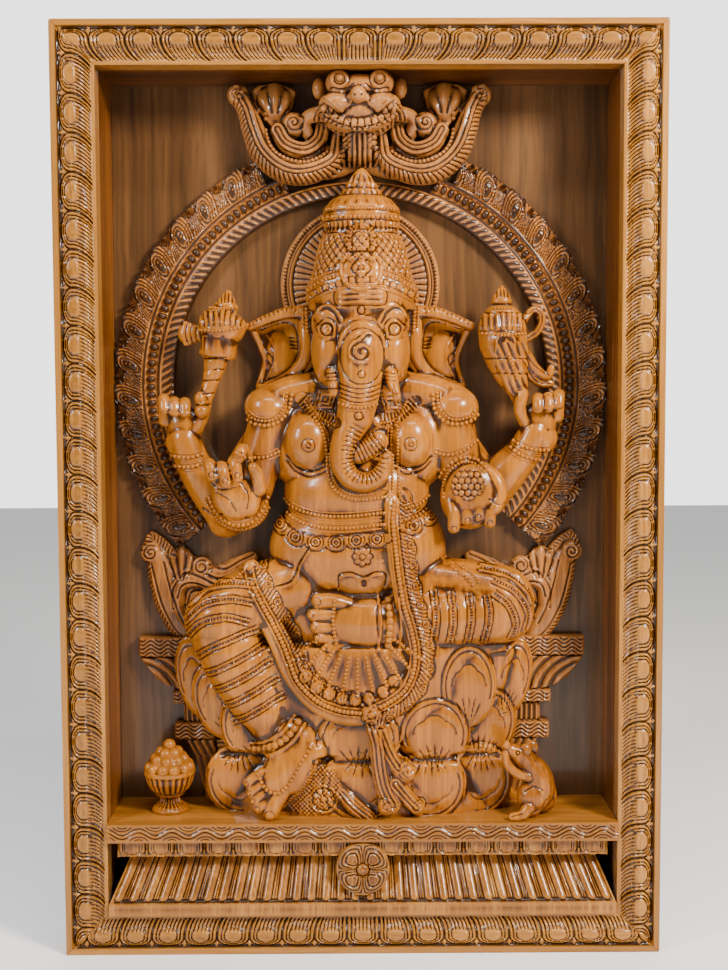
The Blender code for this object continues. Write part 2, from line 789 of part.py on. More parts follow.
def figure_trims():
    """Everything that the back of the carving is cut to fit over."""
    far = -0.08
    wide = PANEL_WIDTH
    rear = box_mesh("rear_cut", (-wide, forward(JOINT_GAP), -0.1), (wide, forward(far), PANEL_HEIGHT))
    foot = box_mesh("foot_cut", (-wide, -wide, -0.1), (wide, wide, shelf_top + JOINT_GAP))
    halo_cut = cylinder_mesh(
        "halo_cut",
        0,
        height_of(HALO_CENTRE),
        HALO_RADIUS * unit + 4 * JOINT_GAP,
        far,
        HALO_RELIEF * unit + 2 * JOINT_GAP,
    )
    made = [add_cutter("rear_cut", rear), add_cutter("foot_cut", foot), add_cutter("halo_cut", halo_cut)]
    inner, outer = ARCH_INNER_RADIUS * unit - 0.001, opening_half_width + 0.03
    sections = []
    for step in range(49):
        turn = math.radians(ARCH_END_ANGLE - 6 + (192 - 2 * ARCH_END_ANGLE) * step / 48)
        ring = ((inner, far), (outer, far), (outer, applied_clear), (inner, applied_clear))
        sections.append(
            [
                (r * math.cos(turn), forward(relief), height_of(ARCH_CENTRE) + r * math.sin(turn))
                for r, relief in ring
            ]
        )
    made.append(add_cutter("arch_cut", loft_mesh("arch_cut", sections)))
    for name, side in (("left_throne_cut", -1), ("right_throne_cut", 1)):
        near, away = sorted((side * (THRONE_INNER * unit - JOINT_GAP), side * wide))
        mesh = box_mesh(
            name,
            (near, forward(applied_clear), height_of(DESIGN_FOOT - 50)),
            (away, forward(far), height_of(DESIGN_FOOT + 405)),
        )
        made.append(add_cutter(name, mesh))
    return made


# Scrolls at the throne's shoulders

def throne_scrolls():
    left = []
    left += limb([(-296, 12, 548, 6), (-300, 12, 530, 10), (-290, 13, 518, 13)])
    left.append(ball(-294, 12, 520, 15, 10, 15))
    left += limb(
        [(-276, 10, 524, 14), (-274, 10, 496, 14), (-268, 10, 460, 13), (-256, 10, 430, 12), (-244, 10, 416, 8)]
    )
    left += limb([(-284, 10, 548, 5), (-268, 10, 534, 7), (-258, 10, 520, 7)])
    left += limb([(-244, 10, 522, 12), (-238, 10, 490, 14), (-236, 10, 460, 13)])
    left += limb([(-222, 11, 512, 11), (-200, 10, 502, 8), (-176, 9, 510, 8), (-156, 9, 522, 6)])
    left += limb([(-236, 10, 480, 12), (-206, 10, 480, 12), (-170, 10, 494, 12), (-160, 10, 470, 14)])
    left.append(slab([(-282, 520), (-262, 424), (-240, 414), (-152, 430), (-152, 505), (-216, 512), (-250, 524)], -4, 9))
    right = mirrored(left)
    wide = PANEL_WIDTH
    inner = THRONE_INNER * unit
    front = box_mesh(
        "scroll_front_cut", (-wide, -wide, 0), (wide, forward(APPLIED_RELIEF * unit), PANEL_HEIGHT)
    )
    middle = box_mesh("scroll_middle_cut", (-inner, -wide, 0), (inner, wide, PANEL_HEIGHT))
    pier_top = shelf_top + PIER_LEVELS[-1][0] * unit + 2 * JOINT_GAP
    bottom = box_mesh("scroll_bottom_cut", (-wide, -wide, 0), (wide, wide, pier_top))
    high = 2 * PANEL_HEIGHT
    left_side = box_mesh("scroll_left_side_cut", (-2 * wide, -wide, 0), (-arch_reach, wide, high))
    right_side = box_mesh("scroll_right_side_cut", (arch_reach, -wide, 0), (2 * wide, wide, high))
    trims = [
        bpy.data.objects["rear_cut"],
        add_cutter("scroll_left_side_cut", left_side),
        add_cutter("scroll_right_side_cut", right_side),
        add_cutter("scroll_front_cut", front),
        add_cutter("scroll_middle_cut", middle),
        add_cutter("scroll_bottom_cut", bottom),
        bpy.data.objects["arch_cut"],
    ]
    carve("throne_scroll_left", left, SCROLL_TRIANGLES, DARK_TEAK, trims)
    carve("throne_scroll_right", right, SCROLL_TRIANGLES, DARK_TEAK, trims)


# Crest at the top: a lion mask between two scrolls

def crest_scroll():
    """The left scroll, a deep ribbon that curls under and ends in two volutes and a fan."""
    forms = limb(
        [
            (-28, 18, 1088, 9), (-34, 18, 1062, 13), (-56, 18, 1046, 14), (-84, 18, 1042, 14),
            (-112, 18, 1050, 15), (-132, 18, 1072, 15), (-142, 18, 1100, 14), (-150, 18, 1124, 12),
            (-158, 18, 1138, 12),
        ],
        flat=2.5,
    )
    forms.append(ball(-161, 22, 1138, 13, 32, 13))
    forms += limb(
        [(-50, 16, 1086, 9), (-66, 16, 1070, 12), (-92, 16, 1068, 13), (-110, 16, 1084, 12), (-112, 16, 1100, 12)],
        flat=2.4,
    )
    forms.append(ball(-90, 20, 1104, 16, 30, 16))
    forms += limb([(-114, 12, 1108, 10), (-114, 12, 1126, 18), (-114, 12, 1138, 22)], flat=FAN_DEPTH)
    forms.append(ball(-60, 18, 1058, 60, 14, 24))
    return forms


def crest_mask():
    forms = [
        ball(0, 40, 1120, 56, 40, 34),
        ball(-28, 70, 1140, 26, 26, 19),
        ball(26, 70, 1140, 26, 26, 19),
        ball(0, 70, 1146, 12, 22, 13),
        ball(-29, 84, 1138, 13, 16, 12),
        ball(24, 84, 1138, 13, 16, 12),
        ball(-2, 88, 1119, 10, 16, 12),
        ball(-29, 72, 1113, 28, 22, 14),
        ball(28, 72, 1115, 28, 22, 14),
        ball(-56, 56, 1134, 9, 10, 8),
        ball(50, 56, 1134, 9, 10, 8),
    ]
    forms += limb([(-56, 68, 1112, 8), (-30, 78, 1098, 9), (0, 80, 1093, 9), (28, 78, 1100, 9), (54, 68, 1116, 8)])
    for side in (-1, 1):
        forms += limb(
            [(side * 58, 40, 1122, 10), (side * 70, 32, 1112, 10), (side * 66, 26, 1096, 8), (side * 56, 24, 1086, 7)],
            flat=MASK_ARM_DEPTH,
        )
    forms += limb([(0, 16, 1098, 22), (0, 16, 1082, 19), (0, 16, 1072, 19)], flat=1.7)
    return forms


def crest():
    scroll = crest_scroll()
    forms = scroll + mirrored(scroll) + crest_mask()
    wide = PANEL_WIDTH
    top = box_mesh("crest_top_cut", (-wide, -wide, opening_top - END_CLEARANCE), (wide, wide, 2 * opening_top))
    clear = ARCH_INNER_RADIUS + ARCH_TOP_RISE + ROPE_BAND_WIDTH + 6
    under = cylinder_mesh(
        "crest_foot_cut", 0, height_of(ARCH_CENTRE), clear * unit, -0.08, applied_clear, segments=96
    )
    trims = [
        bpy.data.objects["rear_cut"],
        add_cutter("crest_top_cut", top),
        add_cutter("crest_foot_cut", under),
    ]
    carve("crest_mask", forms, CREST_TRIANGLES, DARK_TEAK, trims)


# Loose pieces on the shelf

def sweet_bowl():
    x, relief = -264, 60
    forms = limb(
        [
            (x, relief, 170, 33), (x, relief, 184, 31), (x, relief, 192, 22), (x, relief, 198, 20),
            (x, relief, 206, 30), (x, relief, 218, 36), (x, relief, 226, 36), (x, relief, 228, 30),
        ],
        smooth=False,
    )[:1]
    rows = ((230, 28, 9), (242, 26, 9), (253, 18, 7), (262, 9, 4))
    for height, radius, count in rows:
        for i in range(count):
            turn = 2 * math.pi * (i + 0.5 * (height % 2)) / count
            forms.append(
                ball(x + radius * math.cos(turn), relief + radius * math.sin(turn), height, 9, 9, 8)
            )
    forms.append(ball(x, relief, 240, 28, 28, 30))
    forms += [ball(x, relief, 268, 9, 9, 8)]
    trims = [bpy.data.objects["foot_cut"]]
    carve("sweet_bowl", forms, BOWL_TRIANGLES, POLISHED_TEAK, trims, voxel=SMALL_CARVING_VOXEL)


def mouse():
    forms = [
        ball(240, 66, 214, 20, 22, 28, turn=24),
        ball(226, 68, 244, 17, 17, 20, turn=30),
        ball(212, 70, 262, 11, 10, 15, turn=46),
        ball(226, 58, 266, 6, 4, 8),
    ]
    forms += limb([(218, 72, 268, 8), (208, 72, 276, 5), (200, 72, 284, 3)])
    forms += limb([(222, 78, 236, 7), (206, 80, 238, 6), (201, 78, 258, 5)])
    forms += limb([(232, 80, 206, 12), (220, 84, 196, 9), (234, 84, 184, 8), (226, 86, 177, 7)])
    forms += limb([(246, 62, 194, 12), (244, 60, 178, 9)])
    trims = [bpy.data.objects["foot_cut"]]
    carve("mouse", forms, MOUSE_TRIANGLES, POLISHED_TEAK, trims, voxel=SMALL_CARVING_VOXEL)


def rosette():
    """A four-petalled boss that fits over the cornice and the petal band."""
    radius = ROSETTE_RADIUS / unit
    front = RECESS_DEPTH / unit
    behind = petal_band_relief / unit - 6
    height = (shelf_bottom - ROSETTE_RADIUS - END_CLEARANCE - shelf_top) / unit + DESIGN_FOOT
    forms = limb([(0, behind, height, radius), (0, front - 7, height, radius)], smooth=False)[:1]
    for i in range(ROSETTE_PETALS):
        turn = math.radians(45 + 360 * i / ROSETTE_PETALS)
        across, up = 0.5 * radius * math.cos(turn), 0.5 * radius * math.sin(turn)
        forms.append(ball(across, front - 8, height + up, 0.46 * radius, 7, 0.46 * radius))
    forms.append(ball(0, front - 8, height, 6, 8, 6))
    gap = 2 * JOINT_GAP
    half = PANEL_WIDTH / 2
    outline = (
        (0, cornice_bottom),
        (shelf_relief + gap, cornice_bottom),
        (shelf_relief + gap, slope_bottom + gap),
        (slope_foot_relief + gap, slope_bottom + gap),
        (slope_top_relief + gap, cornice_top + gap),
        (petal_band_relief + gap, cornice_top + gap),
        (petal_band_relief + gap, shelf_top),
        (0, shelf_top),
    )
    wedge = [[(x, forward(relief), z) for relief, z in outline] for x in (-half, half)]
    trims = [add_cutter("rosette_cut", loft_mesh("rosette_cut", wedge))]
    carve("rosette", forms, ROSETTE_TRIANGLES, POLISHED_TEAK, trims, voxel=SMALL_CARVING_VOXEL)


box_boards()
frame_members()
fluted_cornice()
petal_band()
shelf()
arch()
halo()
throne_piers()
figure()
throne_scrolls()
crest()
sweet_bowl()
mouse()
rosette()
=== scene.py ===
"""Carved teak wall panel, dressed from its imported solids: frame, arch, crest, throne, seated figure,
bowl, mouse and plinth, in glossy varnished teak.

Design sizes are millimetres: x from the panel's middle, z up from its bottom edge, and relief
forward from the back board's face."""

import math

import bmesh
import bpy
import numpy as np
from mathutils import Matrix, Vector
from mathutils.bvhtree import BVHTree


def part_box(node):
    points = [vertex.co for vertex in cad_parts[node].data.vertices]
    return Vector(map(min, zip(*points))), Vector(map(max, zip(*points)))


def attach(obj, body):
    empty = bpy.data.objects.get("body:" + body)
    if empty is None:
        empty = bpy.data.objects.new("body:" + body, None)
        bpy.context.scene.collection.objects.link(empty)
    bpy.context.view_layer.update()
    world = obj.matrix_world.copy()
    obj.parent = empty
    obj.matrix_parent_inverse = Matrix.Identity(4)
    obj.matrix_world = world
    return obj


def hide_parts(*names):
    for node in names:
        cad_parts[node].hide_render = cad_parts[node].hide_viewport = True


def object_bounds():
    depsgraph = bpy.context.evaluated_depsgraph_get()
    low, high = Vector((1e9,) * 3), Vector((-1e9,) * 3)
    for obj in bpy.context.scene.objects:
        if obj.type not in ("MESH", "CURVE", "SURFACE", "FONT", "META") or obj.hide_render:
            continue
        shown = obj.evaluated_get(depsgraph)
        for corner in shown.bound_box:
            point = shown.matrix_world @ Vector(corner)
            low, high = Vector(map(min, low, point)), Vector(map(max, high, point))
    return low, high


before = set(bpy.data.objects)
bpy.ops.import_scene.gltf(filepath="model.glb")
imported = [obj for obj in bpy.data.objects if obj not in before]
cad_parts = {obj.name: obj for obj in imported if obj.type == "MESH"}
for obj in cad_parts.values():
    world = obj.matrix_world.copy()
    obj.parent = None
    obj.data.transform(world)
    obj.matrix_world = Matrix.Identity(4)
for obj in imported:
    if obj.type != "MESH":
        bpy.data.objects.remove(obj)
cad_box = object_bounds()

MM = 0.001
PANEL_FOOT = cad_box[0][2]
BOARD_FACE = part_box("back_board")[0][1]
FRONT = (BOARD_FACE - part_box("frame_left")[0][1]) / MM
PANEL_WIDTH = (cad_box[1][0] - cad_box[0][0]) / MM
PANEL_HEIGHT = (cad_box[1][2] - cad_box[0][2]) / MM
MOULDING = (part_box("frame_left")[1][0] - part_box("frame_left")[0][0]) / MM
BOTTOM_MOULDING = (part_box("frame_bottom")[1][2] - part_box("frame_bottom")[0][2]) / MM
MOULDING_BACK = (BOARD_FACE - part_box("frame_left")[1][1]) / MM
SHELF_TOP = (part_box("shelf")[1][2] - PANEL_FOOT) / MM
SHELF_FOOT = (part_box("shelf")[0][2] - PANEL_FOOT) / MM
SHELF_RELIEF = (BOARD_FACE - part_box("shelf")[0][1]) / MM
SHELF_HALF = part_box("shelf")[1][0] / MM
NICHE_TOP = PANEL_HEIGHT - MOULDING

# Fineness of the meshes: grid spacing in millimetres, the share of a grid's triangles that is kept,
# and the triangles of each fused carving
GRID = 1.3
GRID_SHARE = 0.67
FIGURE_VOXEL = 1.6
FIGURE_TRIANGLES = 190000
CREST_TRIANGLES = 95000
SCROLL_TRIANGLES = 36000
MOUSE_TRIANGLES = 30000

bpy.ops.object.select_all(action="DESELECT")


# Places and meshes

def places(x, relief, z):
    """Design sizes to metres, for whole arrays of points."""
    x, relief, z = np.broadcast_arrays(x, relief, z)
    return np.column_stack((x * MM, BOARD_FACE - relief * MM, PANEL_FOOT + z * MM))


def at(x, relief, z):
    return Vector((x * MM, BOARD_FACE - relief * MM, PANEL_FOOT + z * MM))


def design_box(node):
    """A solid's extents in design sizes: left, right, foot, top, back and front."""
    low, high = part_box(node)
    return (
        low[0] / MM, high[0] / MM, (low[2] - PANEL_FOOT) / MM, (high[2] - PANEL_FOOT) / MM,
        (BOARD_FACE - high[1]) / MM, (BOARD_FACE - low[1]) / MM,
    )


def designs(points):
    """Metres back to design sizes: x, relief, z."""
    return points[:, 0] / MM, (BOARD_FACE - points[:, 1]) / MM, (points[:, 2] - PANEL_FOOT) / MM


def read_points(piece):
    flat = np.empty(len(piece.data.vertices) * 3)
    piece.data.vertices.foreach_get("co", flat)
    return flat.reshape(-1, 3)


def write_points(piece, points):
    piece.data.vertices.foreach_set("co", np.ascontiguousarray(points).ravel())
    piece.data.update()


def read_normals(piece):
    flat = np.empty(len(piece.data.vertices) * 3)
    piece.data.vertex_normals.foreach_get("vector", flat)
    return flat.reshape(-1, 3)


def read_edges(piece):
    flat = np.empty(len(piece.data.edges) * 2, dtype=np.int64)
    piece.data.edges.foreach_get("vertices", flat)
    return flat.reshape(-1, 2)


def bump(distance, width):
    """A soft round ridge: 1 on the line and 0 a few widths away."""
    return np.exp(-((distance / width) ** 2))


def step(value, low, high):
    """0 below low, 1 above high, and a smooth rise between."""
    t = np.clip((value - low) / (high - low), 0, 1)
    return t * t * (3 - 2 * t)


def dome(distance):
    """The height of a half ball whose rim is at distance 1."""
    return np.sqrt(np.clip(1 - distance ** 2, 0, 1))


def close_back(piece, keep=None, back=-0.5):
    """Drops the faces outside the carving, and closes the sheet with walls and a flat back."""
    solid = bmesh.new()
    solid.from_mesh(piece.data)
    solid.verts.ensure_lookup_table()
    if keep is not None:
        gone = [face for face in solid.faces if not any(keep[v.index] for v in face.verts)]
        bmesh.ops.delete(solid, geom=gone, context="FACES")
    bmesh.ops.remove_doubles(solid, verts=solid.verts, dist=1e-6)
    rim = [edge for edge in solid.edges if edge.is_boundary]
    pulled = bmesh.ops.extrude_edge_only(solid, edges=rim)["geom"]
    for item in pulled:
        if isinstance(item, bmesh.types.BMVert):
            item.co.y = BOARD_FACE - back * MM
    rim = [edge for edge in solid.edges if edge.is_boundary]
    bmesh.ops.holes_fill(solid, edges=rim, sides=0)
    bmesh.ops.recalc_face_normals(solid, faces=solid.faces)
    solid.to_mesh(piece.data)
    solid.free()
    piece.data.update()


def grid_piece(name, columns, rows, shape, back, keep=None):
    """A carved sheet: a fine grid that shape() puts in place, made solid."""
    bpy.ops.mesh.primitive_grid_add(x_subdivisions=int(columns), y_subdivisions=int(rows), size=2)
    piece = bpy.context.object
    piece.name = piece.data.name = name
    points = read_points(piece)
    placed = shape((points[:, 0] + 1) / 2, (points[:, 1] + 1) / 2)
    write_points(piece, placed)
    close_back(piece, None if keep is None else keep(placed), back)
    return piece


def hollow_shade(piece, reach=14, strength=1.0):
    """Stores how deep each point lies below its surroundings, for the stain and painted shade in the
    carving's hollows and the painted highlight on its ridges.
    """
    points, normals, edges = read_points(piece), read_normals(piece), read_edges(piece)
    count = len(points)
    degree = np.bincount(edges.ravel(), minlength=count).astype(float)[:, None] + 1e-9
    soft = points.copy()
    shade = np.zeros(count)
    for turn in range(reach):
        total = np.zeros_like(soft)
        for axis in range(3):
            total[:, axis] = np.bincount(
                edges[:, 0], soft[edges[:, 1], axis], count,
            ) + np.bincount(edges[:, 1], soft[edges[:, 0], axis], count)
        soft = 0.4 * soft + 0.6 * total / degree
        if turn in (reach // 4, reach - 1):
            depth = np.einsum("ij,ij->i", soft - points, normals) / MM
            shade += depth * (1.6 if turn < reach - 1 else 1.0)
    stored = piece.data.attributes.new("hollow", "FLOAT", "POINT")
    stored.data.foreach_set("value", np.clip(0.5 + 0.55 * strength * shade, 0, 1).astype(np.float32))


def apply_modifier(piece, kind, **settings):
    modifier = piece.modifiers.new(kind.lower(), kind)
    for name, value in settings.items():
        setattr(modifier, name, value)
    bpy.ops.object.select_all(action="DESELECT")
    bpy.context.view_layer.objects.active = piece
    piece.select_set(True)
    bpy.ops.object.modifier_apply(modifier=modifier.name)


def finish(piece, node, material, angle=50, reach=14, strength=1.0, share=1.0):
    """Stores a piece's hollows, thins it where it is plain, shades it, gives it its wood and lets it
    stand for its solid."""
    hollow_shade(piece, reach, strength)
    if share < 1:
        low, high = read_points(piece).min(axis=0), read_points(piece).max(axis=0)
        apply_modifier(piece, "DECIMATE", ratio=share)
        write_points(piece, np.clip(read_points(piece), low, high))
    bpy.ops.object.select_all(action="DESELECT")
    bpy.context.view_layer.objects.active = piece
    piece.select_set(True)
    bpy.ops.object.shade_smooth_by_angle(angle=math.radians(angle))
    piece.data.materials.clear()
    piece.data.materials.append(material)
    piece.select_set(False)
    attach(piece, "root")
    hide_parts(node)


# Woods

def linear(code):
    """An sRGB hex colour as the linear values that a shader takes."""
    parts = [int(code[i:i + 2], 16) / 255 for i in (1, 3, 5)]
    return (*[c / 12.92 if c <= 0.04045 else ((c + 0.055) / 1.055) ** 2.4 for c in parts], 1.0)


def add_node(tree, kind, settings=None, inputs=None):
    """Adds a node. An input is a plain value, or a socket to link from."""
    node = tree.nodes.new(kind)
    for name, value in (settings or {}).items():
        setattr(node, name, value)
    for name, value in (inputs or {}).items():
        if isinstance(value, bpy.types.NodeSocket):
            tree.links.new(value, node.inputs[name])
        else:
            node.inputs[name].default_value = value
    return node


def set_ramp(node, stops):
    ramp = node.color_ramp
    while len(ramp.elements) > 1:
        ramp.elements.remove(ramp.elements[-1])
    ramp.elements[0].position, ramp.elements[0].color = stops[0][0], stops[0][1]
    for position, colour in stops[1:]:
        ramp.elements.new(position).color = colour
    return node


def noise(tree, place, scale, detail, roughness=0.5):
    return add_node(
        tree, "ShaderNodeTexNoise", None,
        {"Vector": place, "Scale": scale, "Detail": detail, "Roughness": roughness},
    )


def map_range(tree, value, span, result, smooth=False):
    kind = {"interpolation_type": "SMOOTHSTEP" if smooth else "LINEAR"}
    return add_node(
        tree, "ShaderNodeMapRange", kind,
        {
            "Value": value, "From Min": span[0], "From Max": span[1], "To Min": result[0],
            "To Max": result[1],
        },
    ).outputs["Result"]


def mix_colour(tree, factor, one, other):
    return add_node(
        tree, "ShaderNodeMix", {"data_type": "RGBA", "blend_type": "MIX"},
        {"Factor": factor, "A": one, "B": other},
    ).outputs["Result"]


# Where the streaks turn deep, middle and pale, where the stored hollows take dark stain with painted shade,
# and where the ridges take a painted highlight
DEEP_AT, MID_AT, PALE_AT = 0.38, 0.5, 0.62
STAIN_AND_SHADE_SPAN, PAINTED_HIGHLIGHT_SPAN = (0.49, 0.76), (0.5, 0.1)
PAINTED_HIGHLIGHT_AMOUNT = 0.45
GRAIN_BEND = 0.018
PORE_DEPTH = 0.0006
VARNISH = {"IOR": 1.5, "Specular IOR Level": 0.24, "Coat Weight": 0.3, "Coat Roughness": 0.11}


def teak(name, pale, mid, deep, stain_and_shade, across, along, gloss, stain_and_shade_amount, carved):
    """Varnished teak. Grain runs along the direction whose pattern is stretched most: across and
    along give the streak's width and length in millimetres, along as (x, y, z)."""
    made = bpy.data.materials.new(name)
    made.use_nodes = True
    tree = made.node_tree
    shader = tree.nodes["Principled BSDF"]
    place = add_node(tree, "ShaderNodeTexCoord").outputs["Object"]
    size = [1 / (MM * (length or across)) for length in along]
    warp = noise(tree, place, 7.0, 2.0)
    bent = add_node(
        tree, "ShaderNodeVectorMath", {"operation": "MULTIPLY_ADD"},
        {0: warp.outputs["Color"], 1: (GRAIN_BEND, GRAIN_BEND, GRAIN_BEND), 2: place},
    ).outputs["Vector"]

    def stretched(scale, detail, roughness):
        put = add_node(tree, "ShaderNodeMapping", None, {"Vector": bent, "Scale": scale})
        return noise(tree, put.outputs["Vector"], 1.0, detail, roughness).outputs["Fac"]

    streak = stretched(size, 5.0, 0.62)
    # Broad bands: the growth rings and the glued strips, about eight streaks wide
    band = stretched([v / 8 if v > 20 else v / 3 for v in size], 3.0, 0.5)
    mixed = add_node(
        tree, "ShaderNodeMix", {"data_type": "FLOAT"}, {"Factor": 0.5, "A": streak, "B": band},
    ).outputs["Result"]
    tone = set_ramp(
        add_node(tree, "ShaderNodeValToRGB", None, {"Fac": mixed}),
        ((DEEP_AT, linear(deep)), (MID_AT, linear(mid)), (PALE_AT, linear(pale))),
    )
    colour = tone.outputs["Color"]
    if carved:
        # Dark stain with painted shade in the hollows, and a painted highlight on what stands out
        hollow = add_node(tree, "ShaderNodeAttribute", {"attribute_name": "hollow"}).outputs["Fac"]
        settled_stain_and_shade = map_range(tree, hollow, STAIN_AND_SHADE_SPAN, (0.0, stain_and_shade_amount), smooth=True)
        painted_ridge_highlight = map_range(tree, hollow, PAINTED_HIGHLIGHT_SPAN, (0.0, PAINTED_HIGHLIGHT_AMOUNT))
        lit = mix_colour(tree, painted_ridge_highlight, colour, linear(pale))
        colour = mix_colour(tree, settled_stain_and_shade, lit, linear(stain_and_shade))
    pore = add_node(
        tree, "ShaderNodeBump", None, {"Height": streak, "Strength": 0.12, "Distance": PORE_DEPTH},
    )
    tree.links.new(colour, shader.inputs["Base Color"])
    rough = map_range(tree, streak, (0.3, 0.7), (gloss + 0.08, gloss - 0.04))
    tree.links.new(rough, shader.inputs["Roughness"])
    tree.links.new(pore.outputs["Normal"], shader.inputs["Normal"])
    for setting, value in VARNISH.items():
        shader.inputs[setting].default_value = value
    return made


# Polished with many coats of varnish: deep gloss, with a painted golden highlight on the ridges and dark
# stain with painted shade in the hollows
FIGURE_TEAK = teak(
    "polished_golden_teak", "#b8721e", "#82460b", "#4a2603", "#200e04", 5, (0, 0, 220), 0.24, 0.88, True,
)
# Same boards, thinner varnish, and more dust-brown stain with painted shade in the hollows
FRAME_TEAK = teak(
    "olive_varnished_teak", "#b57c34", "#855219", "#512e0a", "#1a0c03", 4, (0, 0, 260), 0.27, 0.9, True,
)
FRAME_TEAK_FLAT = teak(
    "olive_varnished_teak_level", "#b57c34", "#855219", "#512e0a", "#1a0c03", 4, (260, 0, 0), 0.27, 0.9,
    True,
)
DARK_TEAK = teak(
    "smoked_satin_teak", "#b4763a", "#875324", "#552f11", "#1c0c04", 5, (0, 0, 220), 0.28, 0.88, True,
)
BOARD_TEAK = teak(
    "smoked_teak_board", "#6f4c2b", "#573a1f", "#402a15", "#1d0f07", 9, (0, 0, 420), 0.33, 0.5, False,
)
SIDE_TEAK = teak(
    "teak_side_board", "#8f5518", "#6a390b", "#3f2005", "#1d0f07", 6, (0, 0, 500), 0.3, 0.5, False,
)
TOP_TEAK = teak(
    "teak_top_board", "#7d4914", "#5c310a", "#381c05", "#1d0f07", 6, (500, 0, 0), 0.3, 0.5, False,
)
PLINTH_TEAK = teak(
    "plinth_teak", "#b27a35", "#824c16", "#502b08", "#1a0c03", 4, (0, 0, 160), 0.24, 0.9, True,
)
SHELF_TEAK = teak("shelf_teak", "#ad722b", "#7e4914", "#4e2a08", "#1a0c03", 5, (420, 0, 0), 0.25, 0.9, True)

for board, wood in (
    ("back_board", BOARD_TEAK), ("box_side_left", SIDE_TEAK), ("box_side_right", SIDE_TEAK),
    ("box_top", TOP_TEAK), ("box_bottom", TOP_TEAK),
):
    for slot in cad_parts[board].material_slots:
        slot.material = wood


# Frame mouldings: a band of round-headed leaves between a wide outer and a narrow inner lip

LEAF_BAND_START, LEAF_BAND = 9.5, 41.0


def moulding_level(across, width):
    """How far the plain moulding lies below the front, from its outer edge to its inner one."""
    scale = (width - 16) / 39.0
    t = (across - 8) / scale
    hollow = 3.6 * bump(t - 2.6, 3.4)
    body = 1.2 + 9.0 * step(t, 18, 39)
    level = np.where(t < 0, 0.0, np.maximum(0, body * step(t, 0, 6)) + hollow)
    return np.where(across > width - 4.6, 10.0 + 0.6 * (across > width - 0.8), level)


def leaf_relief(s, across, pitch, sweep, band):
    """Round-headed leaves side by side. s runs along the band in leaves, across from the outer lip."""
    t = (across - LEAF_BAND_START) * LEAF_BAND / band
    bent = s * pitch - sweep * np.clip((t - 16) / 25, 0, 1) ** 2
    side = (bent / pitch) % 1.0 * pitch - pitch / 2
    reach = pitch / 2 - 0.6
    inward = np.where(t > 14, reach - np.abs(side), reach - np.hypot(side, (14 - t) * reach / 12.6))
    relief = 1.5 * bump(inward - 2.6, 1.6) - 3.0 * bump(inward, 1.25) - 1.9 * bump(inward - 5.2, 1.0)
    relief += 1.0 * bump(inward - 7.2, 1.1) - 1.6 * bump(inward - 9.4, 0.9) * (t < 26)
    relief += 2.4 * dome(np.clip(np.hypot(side / 12, (t - 17.5) / 10), 0, 1))
    flute = 0.5 + 0.5 * np.cos(side * 2 * np.pi / 5.0)
    relief -= 2.3 * flute ** 3 * step(t, 21, 27) * (1 - step(t, 39, 41.5)) * step(inward, 3, 6)
    gap = pitch / 2 - np.abs(side)
    relief += 2.6 * dome(np.clip(np.hypot(gap / 2.6, (t - 5.2) / 4.4), 0, 1)) * (inward < 1.5)
    relief += 1.8 * dome(np.clip(np.hypot(gap / 1.7, (t - 1.2) / 1.9), 0, 1))
    edge = step(t, -0.6, 0.6) * (1 - step(t, LEAF_BAND - 0.4, LEAF_BAND + 0.8))
    return np.where(inward < -1.5, np.maximum(relief, -0.4), relief) * edge


def moulding(name, length, width, start, end, put, leaves, sweep, material):
    """One mitred member. start and end are the mitres' slopes, and put() turns along, across and
    depth below the front into a place."""
    band = width - LEAF_BAND_START - 5.0

    def shape(u, v):
        across = v * width
        low = across * start + 0.3
        along = low + (length - across * end - 0.3 - low) * u
        count, pitch = leaves(along)
        relief = leaf_relief(count, across, pitch, sweep(along), band)
        below = np.maximum(moulding_level(across, width) - relief, 0.0)
        return put(along, across, below)

    columns, rows = length / (GRID * 1.05), width / (GRID * 0.95)
    piece = grid_piece(name, columns, rows, shape, MOULDING_BACK)
    finish(piece, name.replace("carved_", ""), material, angle=60, reach=10, share=GRID_SHARE)


def side_leaves(along):
    """Leaves counted down a side: their pitch shrinks a little from the top to the bottom."""
    first, pitch, shrink = -7.9, 50.2, 0.102
    down = PANEL_HEIGHT - along - first
    count = (pitch - np.sqrt(pitch ** 2 - 4 * shrink * np.clip(down, 0, None))) / (2 * shrink)
    return count, pitch - 2 * shrink * count


def level_leaves(pitch):
    """Leaves counted out from the middle of a level member, with one whole leaf at the middle."""
    def leaves(along):
        return np.abs(along - PANEL_WIDTH / 2) / pitch + 0.5, np.full_like(along, pitch)
    return leaves


def frame_mouldings():
    half = PANEL_WIDTH / 2
    slope = BOTTOM_MOULDING / MOULDING
    for name, side in (("carved_frame_left", -1), ("carved_frame_right", 1)):
        moulding(
            name, PANEL_HEIGHT, MOULDING, slope, 1.0,
            lambda along, across, below, side=side: places(side * (half - across), FRONT - below, along),
            side_leaves, lambda along: 15.0, FRAME_TEAK,
        )
    moulding(
        "carved_frame_top", PANEL_WIDTH, MOULDING, 1.0, 1.0,
        lambda along, across, below: places(along - half, FRONT - below, PANEL_HEIGHT - across),
        level_leaves(46.0), lambda along: -15.0 * step(np.abs(along - half), 20, 60), FRAME_TEAK_FLAT,
    )
    moulding(
        "carved_frame_bottom", PANEL_WIDTH, BOTTOM_MOULDING, 1 / slope, 1 / slope,
        lambda along, across, below: places(along - half, FRONT - below, across), level_leaves(43.3),
        lambda along: -7.0 * step(np.abs(along - half), 20, 60), FRAME_TEAK_FLAT,
    )


# Arch: rope band, bead channel and feathered flames

ARCH_MIDDLE = 756.0
ARCH_INNER, ARCH_OUTER = 257.0, 340.0
ARCH_END = 42.0
FLAME_STEP = math.radians(8.6)
# Radii of the arch's rings: the middles of rope, ridge, beads and lip, and where each one ends
ROPE, RIDGE, BEADS, LIP = 266.0, 278.0, 288.5, 299.5
ROPE_END, RIDGE_END, BEADS_END, LIP_END = 275.5, 280.5, 296.5, 302.5
FLAME_START = 302
BELOW_BOARD = -4.0


